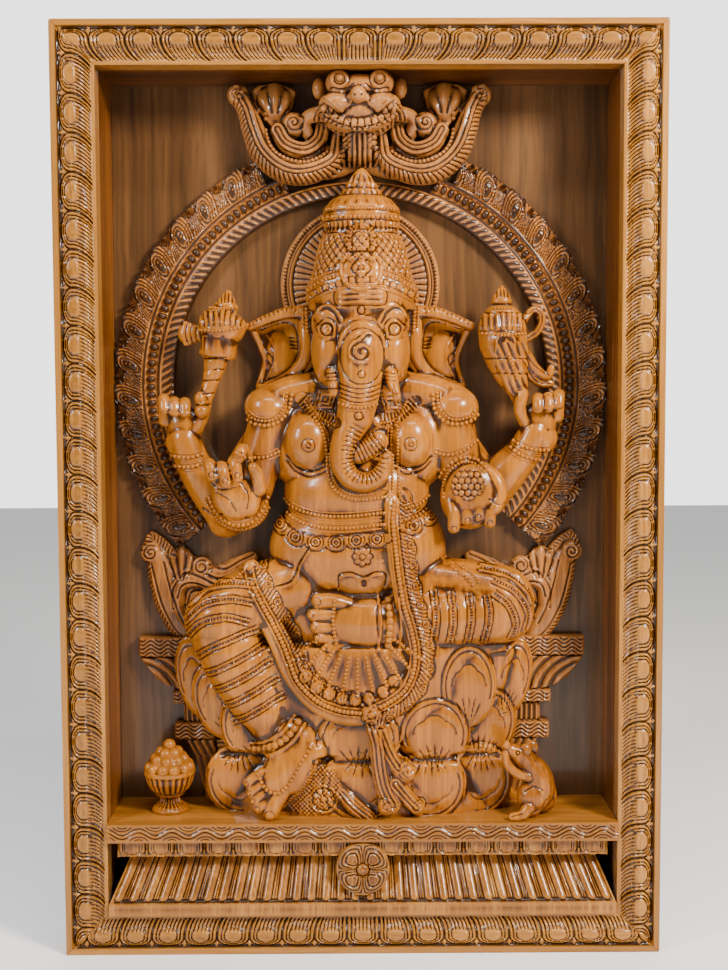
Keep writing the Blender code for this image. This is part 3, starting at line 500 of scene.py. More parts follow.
def flame_relief(turn, q):
    """Overlapping feathers with an eye each. turn is the angle from the arch's foot."""
    radius = ARCH_INNER + 63
    count = turn / FLAME_STEP
    side = (count % 1.0) * FLAME_STEP * radius
    # Fine swept cuts fill the ground between the feathers
    swept = side - 0.5 * q - 0.016 * q ** 2
    best = np.where(q < 25, 4.6 + 1.3 * np.cos(2 * np.pi * swept / 3.7), -5.0)
    for shift in (-1, 0, 1, 2):
        p = (count - np.floor(count) - 0.5 - shift) * FLAME_STEP * radius
        lean = p - 0.35 * (q - 18)
        ring = np.hypot(lean / 6.2, (q - 18) / np.where(q > 18, 8.5, 13.0))
        body = 7.5 * np.sqrt(np.clip(1 - (ring / 3.7) ** 2, 0, 1)) + 0.12 * lean
        ripple = np.where(ring < 0.95, 2.0 * dome(ring), 1.35 * np.cos((ring - 1.3) * 2 * np.pi / 0.62))
        dots = 1.6 * bump(np.hypot(lean, q - 21.5), 1.1) + 1.6 * bump(np.hypot(lean - 1.5, q - 15.5), 1.0)
        reach = ring < 3.3 - 0.9 * step(-lean, 0, 14)
        best = np.where(reach, np.maximum(best, body + ripple - dots), best)
    for centre, height, size in ((0.0, 29.0, 3.6), (7.5, 33.5, 3.0), (FLAME_STEP * radius, 29.0, 3.6)):
        ball = 6.0 * dome(np.clip(np.hypot(side - centre, q - height) / size, 0, 1)) + 2.5
        best = np.where(np.hypot(side - centre, q - height) < size, np.maximum(best, ball), best)
    return best


def arch_shape(u, v):
    turn = math.radians(-ARCH_END) + u * math.radians(180 + 2 * ARCH_END)
    radius = ARCH_INNER + v * (ARCH_OUTER - ARCH_INNER)
    along = turn * ROPE
    rope = 13 + 5.0 * dome(np.clip((radius - ROPE) / 9.6, -1, 1))
    side = np.sign(np.cos(turn))
    hatch = 0.5 + 0.5 * np.cos(2 * np.pi * (along / 10.2 + side * (radius - ROPE) / 15))
    rope -= 2.4 * hatch ** 2 * bump(radius - ROPE, 8)
    ridge = 14 + 2.2 * bump(radius - RIDGE, 2.0)
    span = (turn * BEADS) % 11.0 - 5.5
    beads = 11.5 + 7.5 * dome(np.clip(np.hypot((radius - BEADS) / 7.3, span / 5.3), 0, 1))
    lip = 13.5 + 2.4 * bump(radius - LIP, 2.4)
    from_foot = np.minimum(turn, math.pi - turn) + math.radians(ARCH_END)
    flame = 10.0 + flame_relief(from_foot, radius - FLAME_START)
    relief = np.select(
        [radius < ROPE_END, radius < RIDGE_END, radius < BEADS_END, radius < LIP_END],
        [rope, ridge, beads, lip], flame,
    )
    # Behind the crest the arch is bare but for its rope
    crown = np.abs(math.pi / 2 - turn)
    bare = (crown < math.radians(20)) & (radius > ROPE_END)
    relief = np.where(bare, np.where(radius < 279, 13.0, BELOW_BOARD), relief)
    relief = np.where((crown < math.radians(25)) & (radius > FLAME_START), BELOW_BOARD, relief)
    relief = np.where(radius > ARCH_OUTER - 0.1, BELOW_BOARD, relief)
    return places(radius * np.cos(turn), np.minimum(relief, 21.0), ARCH_MIDDLE + radius * np.sin(turn))


def above_board(placed):
    return (BOARD_FACE - placed[:, 1]) / MM > -1.0


def arch():
    length = math.radians(180 + 2 * ARCH_END) * 300
    columns, rows = length / (GRID * 1.05), (ARCH_OUTER - ARCH_INNER) / (GRID * 0.95)
    piece = grid_piece("carved_arch", columns, rows, arch_shape, -1.0, above_board)
    finish(piece, "arch", DARK_TEAK, angle=60, reach=10, share=GRID_SHARE)


# Halo: fluted disc with a beaded rim

def halo():
    middle, rim = 894.0, 110.0

    def shape(u, v):
        turn, radius = -2 * np.pi * u, 30 + v * (rim - 30)
        flute = np.abs(np.sin(turn * 32))
        relief = 6.0 + 2.6 * flute ** 0.7 * step(radius, 54, 58) * (1 - step(radius, 90, 92.5))
        relief += 3.4 * bump(radius - 95.5, 2.2) + 1.6 * bump(radius - 100, 1.2)
        bead = 0.5 + 0.5 * np.cos(turn * 130)
        relief += (1.8 + 2.2 * bead) * bump(radius - 105.5, 3.0)
        relief = np.where(radius > rim - 0.4, 2.0, relief)
        return places(radius * np.cos(turn), relief, middle + radius * np.sin(turn))

    piece = grid_piece("carved_halo", 2 * math.pi * 85 / GRID, 80 / GRID, shape, -1.0)
    finish(piece, "halo_disc", DARK_TEAK, angle=60, reach=8, share=GRID_SHARE)


# Plinth

WAVE_LENGTH, WAVE_HEIGHT = 44, 4.4


def wave_relief(x, z):
    """Three cut waves along the shelf's edge, with nested arcs in their hollows."""
    middle = (SHELF_TOP + SHELF_FOOT) / 2
    phase = 2 * np.pi * x / WAVE_LENGTH
    wave = middle + WAVE_HEIGHT * np.sin(phase)
    slope = np.sqrt(1 + (WAVE_HEIGHT * 2 * np.pi / WAVE_LENGTH * np.cos(phase)) ** 2)
    off = (z - wave) / slope
    relief = 0.9 * bump(off, 1.2) - 1.2 * bump(off - 2.6, 0.9) - 1.2 * bump(off + 2.6, 0.9)
    for shift, base, way in ((0.75, SHELF_TOP - 1, -1), (0.25, SHELF_FOOT + 1, 1)):
        cell = ((x / WAVE_LENGTH - shift + 0.5) % 1.0 - 0.5) * WAVE_LENGTH
        away = np.hypot(cell * 0.62, (z - base))
        for radius in (4.0, 7.6):
            relief -= 0.9 * bump(away - radius, 0.8) * ((z - base) * way > 0)
    return relief


def shelf():
    half = SHELF_HALF

    def shape(u, v):
        x, z = -half + 2 * half * u, SHELF_FOOT + (SHELF_TOP - SHELF_FOOT) * v
        edge = np.minimum(z - SHELF_FOOT, SHELF_TOP - z)
        relief = SHELF_RELIEF - 0.7 * bump(edge, 0.9) - 1.2 + wave_relief(x, z)
        return places(x, np.minimum(relief, SHELF_RELIEF), z)

    piece = grid_piece("carved_shelf", 2 * half / GRID, 25 / 1.0, shape, 0.3)
    finish(piece, "shelf", SHELF_TEAK, angle=40, reach=6, share=GRID_SHARE)


def petal_band():
    _, half, foot, top, back, front = design_box("petal_band")
    pitch = 2 * half / 17

    def shape(u, v):
        x, z = -half + 2 * half * u, foot + (top - foot) * v
        side = (x / pitch - 0.5) % 1.0 * pitch - pitch / 2
        rise = z - foot
        reach = pitch / 2 - 3.0
        inward = np.where(
            rise > 10, reach - np.abs(side), reach - np.hypot(side, (10 - rise) * reach / 9.5),
        )
        relief = front - 4.5 + 3.8 * step(inward, -1.2, 0.8) - 1.7 * bump(inward - 3.4, 0.8)
        relief -= 1.5 * bump(inward - 6.4, 0.8)
        relief += 0.6 * dome(np.clip(np.hypot(side / 7, (rise - 12) / 7), 0, 1))
        gap = pitch / 2 - np.abs(side)
        relief += 3.4 * np.clip(1 - gap / (0.7 + 0.22 * np.clip(rise, 0, 9)), 0, 1) * (rise < 9)
        relief += 2.2 * np.clip(1 - gap / 1.6, 0, 1)
        return places(x, np.minimum(relief, front), z)

    piece = grid_piece("carved_petal_band", 2 * half / GRID, (top - foot) / 1.1, shape, back)
    finish(piece, "petal_band", PLINTH_TEAK, angle=60, reach=8, share=GRID_SHARE)


def cornice():
    _, half, foot, top, back, front = design_box("fluted_cornice")
    slab, inset, run, drop = 16.0, 26.0, 36.0, 3.0
    ribs = 34

    def shape(u, v):
        share = 2 * u - 1
        rise = np.where(v < 0.2, v / 0.2 * slab, slab + (v - 0.2) / 0.8 * (top - foot - slab))
        up = np.clip((rise - slab) / (top - foot - slab), 0, 1)
        x = share * (half - inset * up)
        on_slope = rise > slab + 0.01
        plain = np.where(on_slope, front - drop - run * up, front)
        pitch = 2 * (half - inset * up) / ribs
        side = ((u * ribs) % 1.0 - 0.5) * pitch
        tip = 7.5
        height = rise - slab
        away = np.where(height > tip, np.abs(side), np.hypot(side, tip - height))
        width = 5.8
        rib = 3.6 * dome(np.clip(away / width, 0, 1))
        line = 2.0 * bump(np.abs(side) - 8.2, 1.0) * step(height, 4, 7)
        wave = -3.6 + rib + line
        relief = np.where(on_slope, plain + np.minimum(wave, 0.0), plain - 0.6 * bump(rise - slab, 1.0))
        relief -= 0.8 * bump(rise, 0.8)
        return places(x, relief, foot + rise)

    piece = grid_piece("carved_cornice", 2 * half / 1.15, 50, shape, back)
    finish(piece, "fluted_cornice", PLINTH_TEAK, angle=60, reach=8, share=GRID_SHARE)


def rosette():
    _, _, foot, top, back, front = design_box("rosette")
    middle, rim = (foot + top) / 2, (top - foot) / 2

    def shape(u, v):
        turn, radius = -2 * np.pi * u, 0.02 + v * rim
        x, z = radius * np.cos(turn), radius * np.sin(turn)
        relief = front - 6.5 + 4.5 * dome(np.clip(radius / rim, 0, 1)) ** 0.8
        best = np.full_like(x, 60.0)
        for quarter in range(4):
            lean = math.radians(45 + 90 * quarter)
            out = x * math.cos(lean) + z * math.sin(lean)
            side = -x * math.sin(lean) + z * math.cos(lean)
            spread = 4.0 + 13.5 * np.clip(out / 24, 0, 1)
            ring = np.hypot(side / spread, (out - 20) / np.where(out > 20, 13.5, 17.0))
            best = np.minimum(best, ring)
        relief += 1.2 * np.cos(best * 2 * np.pi / 0.36) * step(best, 0.3, 0.5) * (best < 1.12)
        relief -= 2.2 * bump((best - 1.12) * 12, 1.6)
        relief -= 1.6 * bump(radius - 10.5, 1.2)
        rays = 0.5 + 0.5 * np.cos(turn * 16)
        relief -= 1.0 * rays * bump(radius - 13.5, 3.0)
        relief = np.where(radius < 9, front - 7 + 7 * dome(np.clip(radius / 8.5, 0, 1)), relief)
        relief = np.where(radius > rim - 0.6, front - 9, relief)
        return places(x, np.minimum(relief, front), middle + z)

    piece = grid_piece("carved_rosette", 2 * math.pi * 26 / 1.0, rim / 0.8, shape, back)
    finish(piece, "rosette", PLINTH_TEAK, angle=60, reach=8, share=GRID_SHARE)


# Rounded forms, fused into one skin

def ball(x, relief, z, across, deep, tall, turn=0.0):
    """An ellipsoid. A positive turn leans it to the left as seen from the front."""
    fine = 40 if max(across, tall) > 40 else 24
    bpy.ops.mesh.primitive_uv_sphere_add(
        segments=fine, ring_count=fine // 2, radius=MM, location=at(x, relief, z),
        rotation=(0, math.radians(-turn), 0), scale=(across, deep, tall),
    )
    return [bpy.context.object]


def limb(points, flat=1.0, smooth=True):
    """A tapered round form through points given as (x, relief, z, radius)."""
    curve = bpy.data.curves.new("limb", "CURVE")
    curve.dimensions = "3D"
    curve.bevel_depth = MM
    curve.bevel_resolution = 6
    curve.use_fill_caps = True
    curve.resolution_u = 8
    middle = at(*points[0][:3]).y
    spline = curve.splines.new("BEZIER" if smooth else "POLY")
    knots = spline.bezier_points if smooth else spline.points
    knots.add(len(points) - 1)
    for knot, (x, relief, z, radius) in zip(knots, points):
        place = at(x, relief, z)
        place.y = (place.y - middle) / flat
        knot.co = place if smooth else (*place, 1)
        knot.radius = radius
        if smooth:
            knot.handle_left_type = knot.handle_right_type = "AUTO"
    made = bpy.data.objects.new("limb", curve)
    bpy.context.scene.collection.objects.link(made)
    made.location.y = middle
    made.scale.y = flat
    if not smooth:
        return [made]
    ends = []
    for x, relief, z, radius in (points[0], points[-1]):
        ends += ball(x, relief, z, radius, radius * flat, radius)
    return [made, *ends]


def slab(points, near, far):
    """A flat outline between two reliefs."""
    solid = bmesh.new()
    rings = [[solid.verts.new(at(x, relief, z)) for x, z in points] for relief in (near, far)]
    count = len(points)
    for i in range(count):
        j = (i + 1) % count
        solid.faces.new((rings[0][i], rings[0][j], rings[1][j], rings[1][i]))
    solid.faces.new(rings[0])
    solid.faces.new(rings[1])
    bmesh.ops.recalc_face_normals(solid, faces=solid.faces)
    mesh = bpy.data.meshes.new("slab")
    solid.to_mesh(mesh)
    solid.free()
    made = bpy.data.objects.new("slab", mesh)
    bpy.context.scene.collection.objects.link(made)
    return [made]


def other_side(forms):
    """Copies of these forms across the panel's middle."""
    bpy.context.view_layer.update()
    copies = []
    for form in forms:
        twin = form.copy()
        twin.data = form.data.copy()
        bpy.context.scene.collection.objects.link(twin)
        twin.matrix_world = Matrix.Diagonal((-1, 1, 1, 1)) @ form.matrix_world
        copies.append(twin)
    return copies


def fuse(name, forms, voxel, rounds):
    """Joins forms, makes one skin of them and rounds off the seams."""
    bpy.context.view_layer.update()
    bpy.ops.object.select_all(action="DESELECT")
    for form in forms:
        form.select_set(True)
    bpy.context.view_layer.objects.active = forms[0]
    bpy.ops.object.convert(target="MESH")
    bpy.ops.object.join()
    piece = bpy.context.object
    bpy.ops.object.transform_apply(location=True, rotation=True, scale=True)
    piece.name = piece.data.name = name
    solid = bmesh.new()
    solid.from_mesh(piece.data)
    bmesh.ops.remove_doubles(solid, verts=solid.verts, dist=1e-7)
    bmesh.ops.recalc_face_normals(solid, faces=solid.faces)
    solid.to_mesh(piece.data)
    solid.free()
    apply_modifier(piece, "REMESH", mode="VOXEL", voxel_size=voxel * MM, use_smooth_shade=True)
    if rounds:
        apply_modifier(piece, "SMOOTH", factor=0.5, iterations=rounds)
    return piece


def trim(piece, place, normal):
    """Cuts away what lies beyond a plane and closes the cut."""
    solid = bmesh.new()
    solid.from_mesh(piece.data)
    bmesh.ops.bisect_plane(
        solid, geom=[*solid.verts, *solid.edges, *solid.faces], plane_co=place, plane_no=normal,
        clear_outer=True,
    )
    rim = [edge for edge in solid.edges if edge.is_boundary]
    bmesh.ops.holes_fill(solid, edges=rim, sides=0)
    solid.to_mesh(piece.data)
    solid.free()


# Cutting into a skin as seen from the front

def smooth_path(points, spacing=1.5, closed=False):
    """A smooth line through chosen points, as evenly spaced (x, z) places."""
    given = [np.array(p, float) for p in points]
    if closed:
        given = [given[-1], *given, given[0], given[1]]
    else:
        given = [2 * given[0] - given[1], *given, 2 * given[-1] - given[-2]]
    line = []
    for a, b, c, d in zip(given, given[1:], given[2:], given[3:]):
        for t in np.linspace(0, 1, 12, endpoint=False):
            line.append(
                0.5 * (
                    2 * b + (c - a) * t + (
                        2 * a - 5 * b + 4 * c - d
                    ) * t ** 2 + (3 * b - a - 3 * c + d) * t ** 3
                )
            )
    line.append(given[-2])
    line = np.array(line)
    runs = np.concatenate(([0], np.cumsum(np.hypot(*np.diff(line, axis=0).T))))
    count = max(2, int(round(runs[-1] / spacing)) + 1)
    even = np.linspace(0, runs[-1], count)
    return np.column_stack((np.interp(even, runs, line[:, 0]), np.interp(even, runs, line[:, 1])))


def beside(path, offset):
    """The same line moved sideways, to its left where offset is positive."""
    ahead = np.gradient(path, axis=0)
    ahead /= np.hypot(*ahead.T)[:, None] + 1e-9
    return path + offset * np.column_stack((-ahead[:, 1], ahead[:, 0]))


def follow(x, z, path):
    """For each point, how far it lies to the left of a line, and how far along it."""
    best = np.full(len(x), 1e9)
    left = np.zeros(len(x))
    along = np.zeros(len(x))
    run = 0.0
    for (ax, az), (bx, bz) in zip(path, path[1:]):
        dx, dz = bx - ax, bz - az
        size = math.hypot(dx, dz) + 1e-9
        t = np.clip(((x - ax) * dx + (z - az) * dz) / size ** 2, 0, 1)
        ox, oz = x - ax - t * dx, z - az - t * dz
        away = np.hypot(ox, oz)
        nearer = away < best
        best[nearer] = away[nearer]
        left[nearer] = (np.sign(dx * oz - dz * ox) * away)[nearer]
        along[nearer] = (run + t * size)[nearer]
        run += size
    return left, along


class Skin:
    """A fused skin whose front is carved, then thinned."""

    def __init__(self, piece):
        self.piece = piece
        self.points = read_points(piece)
        self.normals = read_normals(piece)
        self.x, self.relief, self.z = designs(self.points)
        self.tree = self.make_tree()
        self.moved = np.zeros(len(self.points))
        self.front = self.find_front()

    def make_tree(self):
        faces = np.empty(len(self.piece.data.loops), dtype=np.int64)
        self.piece.data.loops.foreach_get("vertex_index", faces)
        starts = np.empty(len(self.piece.data.polygons), dtype=np.int64)
        self.piece.data.polygons.foreach_get("loop_start", starts)
        polygons = np.split(faces, starts[1:])
        return BVHTree.FromPolygons(self.points.tolist(), [p.tolist() for p in polygons])

    def find_front(self):
        """The points that can be seen from straight ahead."""
        facing = np.flatnonzero(self.normals[:, 1] < -0.05)
        ahead = Vector((0, 1, 0))
        seen = []
        for index in facing:
            x, y, z = self.points[index]
            hit = self.tree.ray_cast(Vector((x, -1.0, z)), ahead)[0]
            if hit is None or hit.y > y - 0.0022:
                seen.append(index)
        return np.array(seen)

    def strike(self, x, z):
        """Where a line from straight ahead meets the skin: its place and normal, or None."""
        hit, normal, _, _ = self.tree.ray_cast(at(x, 400, z), Vector((0, 1, 0)))
        return (hit, normal) if hit is not None else None

    def near(self, box, far=200.0):
        x0, x1, z0, z1 = box
        x, z = self.x[self.front], self.z[self.front]
        behind = self.relief[self.front] < far
        return self.front[(x > x0) & (x < x1) & (z > z0) & (z < z1) & behind]

    def area(self, box, rise, far=200.0):
        """Raises the front inside a box by rise(x, z) millimetres, as far forward as this relief."""
        found = self.near(box, far)
        self.moved[found] += rise(self.x[found], self.z[found])

    def line(self, points, width, height, closed=False, path=None, far=200.0):
        """A ridge along a line, or a cut where height is negative."""
        path = smooth_path(points, 2.0, closed) if path is None else path
        margin = 3 * width
        found = self.near(
            (
                path[:, 0].min() - margin, path[:, 0].max() + margin, path[:, 1].min() - margin,
                path[:, 1].max() + margin,
            ),
            far,
        )
        if len(found):
            left, _ = follow(self.x[found], self.z[found], path)
            self.moved[found] += height * bump(left, width)

    def band(self, points, low, high, rise, closed=False):
        """Raises what lies between two offsets of a line by rise(offset, along)."""
        path = smooth_path(points, 3.0, closed)
        margin = max(abs(low), abs(high)) + 2
        found = self.near((
            path[:, 0].min() - margin, path[:, 0].max() + margin, path[:, 1].min() - margin,
            path[:, 1].max() + margin,
        ))
        left, along = follow(self.x[found], self.z[found], path)
        inside = (left > low) & (left < high)
        found, left, along = found[inside], left[inside], along[inside]
        self.moved[found] += rise(left, along)

    def cut(self, triangles):
        """Moves the carved points, then thins the skin where it is plain."""
        limit = np.clip(self.moved, -7, 9)
        write_points(self.piece, self.points + self.normals * limit[:, None] * MM)
        count = sum(len(face.vertices) - 2 for face in self.piece.data.polygons)
        if count > triangles:
            apply_modifier(self.piece, "DECIMATE", ratio=triangles / count)


class Trimmings:
    """Beads and cords laid on a skin, gathered as one piece."""

    def __init__(self, skin):
        self.skin = skin
        self.places, self.sizes = [], []
        self.curve = bpy.data.curves.new("cords", "CURVE")
        self.curve.dimensions = "3D"
        self.curve.bevel_depth = MM
        self.curve.bevel_resolution = 2
        self.curve.use_fill_caps = True

    def bead(self, x, z, radius, sink=0.25, lift=0.0):
        struck = self.skin.strike(x, z)
        if struck:
            place, normal = struck
            if normal.y > -0.12:
                return
            self.places.append(place + normal * (radius * (1 - sink) + lift - 0.5 * radius) * MM)
            self.sizes.append(radius)

    def beads(self, points, radius, pitch=None, closed=False, path=None):
        path = smooth_path(points, 1.0, closed) if path is None else path
        pitch = pitch or radius * 1.95
        runs = np.concatenate(([0], np.cumsum(np.hypot(*np.diff(path, axis=0).T))))
        count = max(1, int(round(runs[-1] / pitch)))
        for share in (np.arange(count) + 0.5) / count * runs[-1]:
            self.bead(np.interp(share, runs, path[:, 0]), np.interp(share, runs, path[:, 1]), radius)

    def cord(self, points, radius, closed=False, path=None, sink=0.4):
        """A raised round line. It breaks where the skin falls away."""
        path = smooth_path(points, 2.5, closed) if path is None else path[::2]
        run = []
        for x, z in path:
            struck = self.skin.strike(x, z)
            good = struck and struck[1].y < -0.12
            if good and run and (struck[0] - run[-1]).length > 0.012:
                good = False
            if good:
                run.append(struck[0] + struck[1] * radius * (0.5 - sink) * MM)
            else:
                self.add_run(run, radius)
                run = [struck[0]] if struck and struck[1].y < -0.12 else []
        self.add_run(run, radius)

    def add_run(self, run, radius):
        if len(run) < 2:
            return
        spline = self.curve.splines.new("POLY")
        spline.points.add(len(run) - 1)
        for knot, place in zip(spline.points, run):
            knot.co = (*place, 1)
            knot.radius = radius
        spline.points[0].radius = spline.points[-1].radius = radius * 0.5

    def band(self, points, half, bead, pitch=None, cord=1.1, closed=False):
        """A row of beads between two cords."""
        path = smooth_path(points, 1.25, closed)
        self.beads(None, bead, pitch, path=path)
        self.cord(None, cord, path=beside(path, half))
        self.cord(None, cord, path=beside(path, -half))

    def make(self, name):
        """One bead is modelled once and copied to each place."""
        bpy.ops.mesh.primitive_ico_sphere_add(subdivisions=2, radius=MM)
        pattern = bpy.context.object
        shape = read_points(pattern)
        corners = np.array([list(face.vertices) for face in pattern.data.polygons])
        places = np.array([list(p) for p in self.places])
        sizes = np.array(self.sizes)
        points = (places[:, None, :] + shape[None, :, :] * sizes[:, None, None]).reshape(-1, 3)
        faces = (corners[None] + (np.arange(len(places)) * len(shape))[:, None, None]).reshape(-1, 3)
        mesh = bpy.data.meshes.new(name)
        mesh.from_pydata(points.tolist(), [], faces.tolist())
        bpy.data.objects.remove(pattern)
        piece = bpy.data.objects.new(name, mesh)
        bpy.context.scene.collection.objects.link(piece)
        if not self.curve.splines:
            return piece
        cords = bpy.data.objects.new("cords", self.curve)
        bpy.context.scene.collection.objects.link(cords)
        bpy.ops.object.select_all(action="DESELECT")
        cords.select_set(True)
        bpy.context.view_layer.objects.active = cords
        bpy.ops.object.convert(target="MESH")
        piece.select_set(True)
        bpy.context.view_layer.objects.active = piece
        bpy.ops.object.join()
        return piece


# Figure

def torso():
    forms = ball(-5, 36, 536, 122, 66, 82) + ball(-6, 38, 612, 100, 56, 66)
    forms += ball(-5, 32, 690, 106, 48, 62) + ball(-2, 34, 744, 84, 36, 30)
    forms += ball(-71, 66, 680, 31, 24, 38) + ball(66, 66, 682, 29, 24, 36)
    forms += ball(-4, 34, 482, 126, 48, 50)
    forms += ball(-84, 36, 676, 40, 40, 62) + ball(82, 36, 678, 40, 40, 62)
    forms += limb([(-52, 38, 752, 24), (-92, 40, 744, 26), (-124, 42, 732, 26)])
    forms += limb([(52, 38, 752, 24), (92, 40, 744, 26), (126, 42, 732, 26)])
    return forms


def head():
    forms = ball(0, 48, 838, 67, 50, 56) + ball(0, 62, 862, 56, 38, 34)
    forms += ball(-42, 58, 802, 25, 36, 48) + ball(42, 58, 802, 25, 36, 48)
    forms += ball(-40, 76, 848, 22, 18, 16) + ball(40, 76, 848, 22, 18, 16)
    forms += ball(0, 40, 776, 50, 36, 30)
    forms += ball(0, 66, 846, 36, 30, 28)
    forms += limb([
        (0, 70, 840, 26), (0, 82, 812, 31), (-1, 87, 778, 31), (-3, 89, 742, 28), (-8, 90, 714, 25),
    ])
    return forms


def trunk():
    forms = limb([
        (-3, 89, 742, 27), (-8, 90, 714, 24), (-19, 92, 688, 19), (-25, 92, 662, 17), (-20, 92, 640, 15),
        (-6, 93, 629, 14), (10, 94, 628, 13), (24, 95, 636, 12), (32, 96, 650, 10), (34, 96, 662, 8),
    ])
    # The striped sweet that the trunk's tip curls round, and the knob above it
    forms += limb([(-2, 90, 664, 13), (10, 93, 671, 14), (24, 95, 681, 12)]) + ball(24, 98, 689, 8, 7, 6)
    forms += limb([(-38, 82, 778, 9), (-37, 94, 762, 8), (-36, 103, 746, 5)])
    forms += limb([(38, 82, 778, 9), (42, 94, 760, 8), (48, 103, 740, 5)])
    return forms


def ear():
    outline = [
        (-56, 848), (-88, 856), (-122, 852), (-153, 839), (-148, 824), (-135, 806), (-131, 788),
        (-136, 768), (-142, 751), (-110, 749), (-84, 764), (-56, 790),
    ]
    forms = slab(outline, 0, 14) + ball(-112, 10, 792, 24, 12, 40, turn=4)
    forms += limb([
        (-58, 32, 846, 9), (-78, 34, 853, 9), (-102, 35, 853, 8.5), (-126, 34, 845, 8), (-150, 33, 836, 6),
    ])
    forms += limb([
        (-76, 34, 846, 8), (-74, 38, 826, 10), (-74, 38, 802, 10), (-84, 35, 780, 9), (-104, 28, 764, 8),
        (-136, 20, 753, 6),
    ])
    forms += limb([
        (-148, 27, 834, 5), (-138, 20, 811, 4), (-132, 16, 790, 4), (-136, 15, 770, 4), (-140, 16, 755, 5),
    ])
    return forms


def crown():
    profile = [
        (2, 50, z, radius) for z, radius in (
            (856, 70), (872, 75), (884, 76), (894, 72), (906, 66), (922, 63), (940, 59), (955, 52),
            (963, 46), (964, 51), (974, 52), (981, 50), (983, 52), (992, 51), (995, 48), (1003, 41),
            (1009, 28), (1011, 27), (1016, 25), (1018, 20), (1022, 21), (1030, 15),
        )
    ]
    return limb(profile + [(3, 50, 1040, 9), (4, 50, 1045, 3)], flat=0.74, smooth=False)


def fist(x, relief, z, side):
    """A hand closed round an emblem, thumb on the inner side."""
    forms = ball(x, relief, z, 25, 15, 27) + ball(x - side * 4, relief, z - 22, 23, 15, 22)
    for across, up in ((-27, 31), (-13, 27), (1, 26)):
        forms += limb([
            (x + side * across, relief + 2, z + 6, 8), (x + side * across, relief + 8, z + up + 3, 8.5),
            (x + side * (across + 1), relief + 16, z + up + 4, 8),
            (x + side * (across + 2), relief + 22, z + up - 8, 7.5),
        ])
    forms += limb([
        (x + side * 16, relief + 4, z - 2, 10), (x + side * 25, relief + 8, z + 18, 9),
        (x + side * 22, relief + 12, z + 38, 8),
    ])
    return forms


def rear_arms():
    forms = limb([(-120, 26, 706, 26), (-160, 22, 640, 28), (-184, 24, 590, 28), (-186, 28, 572, 26)])
    forms += limb([(-184, 30, 574, 27), (-206, 36, 612, 28), (-228, 42, 650, 24), (-240, 46, 684, 22)])
    forms += limb([(110, 26, 706, 26), (150, 24, 650, 28), (172, 26, 604, 28)])
    forms += limb([(172, 30, 600, 28), (198, 36, 636, 29), (222, 42, 664, 24), (236, 46, 690, 22)])
    return forms


def emblems():
    """Left: a mace head with a blade. Right: a fluted vessel with a ribbon."""
    forms = limb(
        [
            (-213, 54, 716, 9), (-209, 52, 738, 9), (-203, 50, 760, 11), (-197, 50, 780, 15),
            (-195, 50, 793, 17), (-195, 50, 794, 24), (-192, 50, 800, 25), (-190, 50, 818, 25),
            (-188, 50, 826, 30), (-185, 50, 838, 33), (-184, 50, 848, 29), (-182, 50, 856, 20),
            (-181, 50, 858, 15), (-180, 50, 863, 17), (-179, 50, 869, 12), (-177, 50, 884, 2),
        ],
        flat=0.85, smooth=False,
    )
    forms += limb([(-215, 46, 826, 10), (-232, 44, 826, 15)], flat=0.5)
    forms += slab([(-212, 820), (-238, 808), (-241, 826), (-238, 844), (-212, 832)], 34, 50)
    forms += ball(-213, 66, 722, 10, 10, 10)
    forms += limb(
        [
            (216, 50, 726, 7), (213, 50, 744, 13), (206, 50, 764, 21), (199, 50, 786, 28),
            (193, 50, 810, 33), (191, 50, 832, 33), (190, 50, 850, 27), (190, 50, 860, 18),
            (190, 50, 862, 13), (190, 50, 867, 15), (190, 50, 872, 13), (190, 50, 889, 2),
        ],
        flat=0.85, smooth=False,
    )
    forms += limb([
        (216, 46, 826, 5), (226, 44, 850, 5), (237, 42, 857, 5), (246, 40, 846, 5), (240, 38, 828, 5),
        (226, 38, 818, 6),
    ])
    forms += limb([
        (214, 52, 812, 7), (226, 48, 792, 8), (238, 44, 775, 8), (254, 40, 768, 6), (259, 40, 778, 5),
    ])
    forms += limb([(216, 46, 788, 7), (230, 44, 768, 7), (246, 40, 757, 6), (259, 38, 757, 5)])
    return forms


def arms():
    forms = ball(-124, 46, 724, 35, 32, 29, turn=-20) + ball(126, 46, 722, 35, 32, 31, turn=20)
    forms += limb([(-122, 44, 706, 31), (-134, 44, 668, 30), (-148, 44, 618, 29)])
    forms += limb([(124, 44, 706, 32), (128, 48, 672, 31), (136, 52, 632, 28)])
    forms += ball(-164, 52, 592, 40, 30, 34)
    forms += ball(146, 62, 606, 40, 24, 46)
    return forms


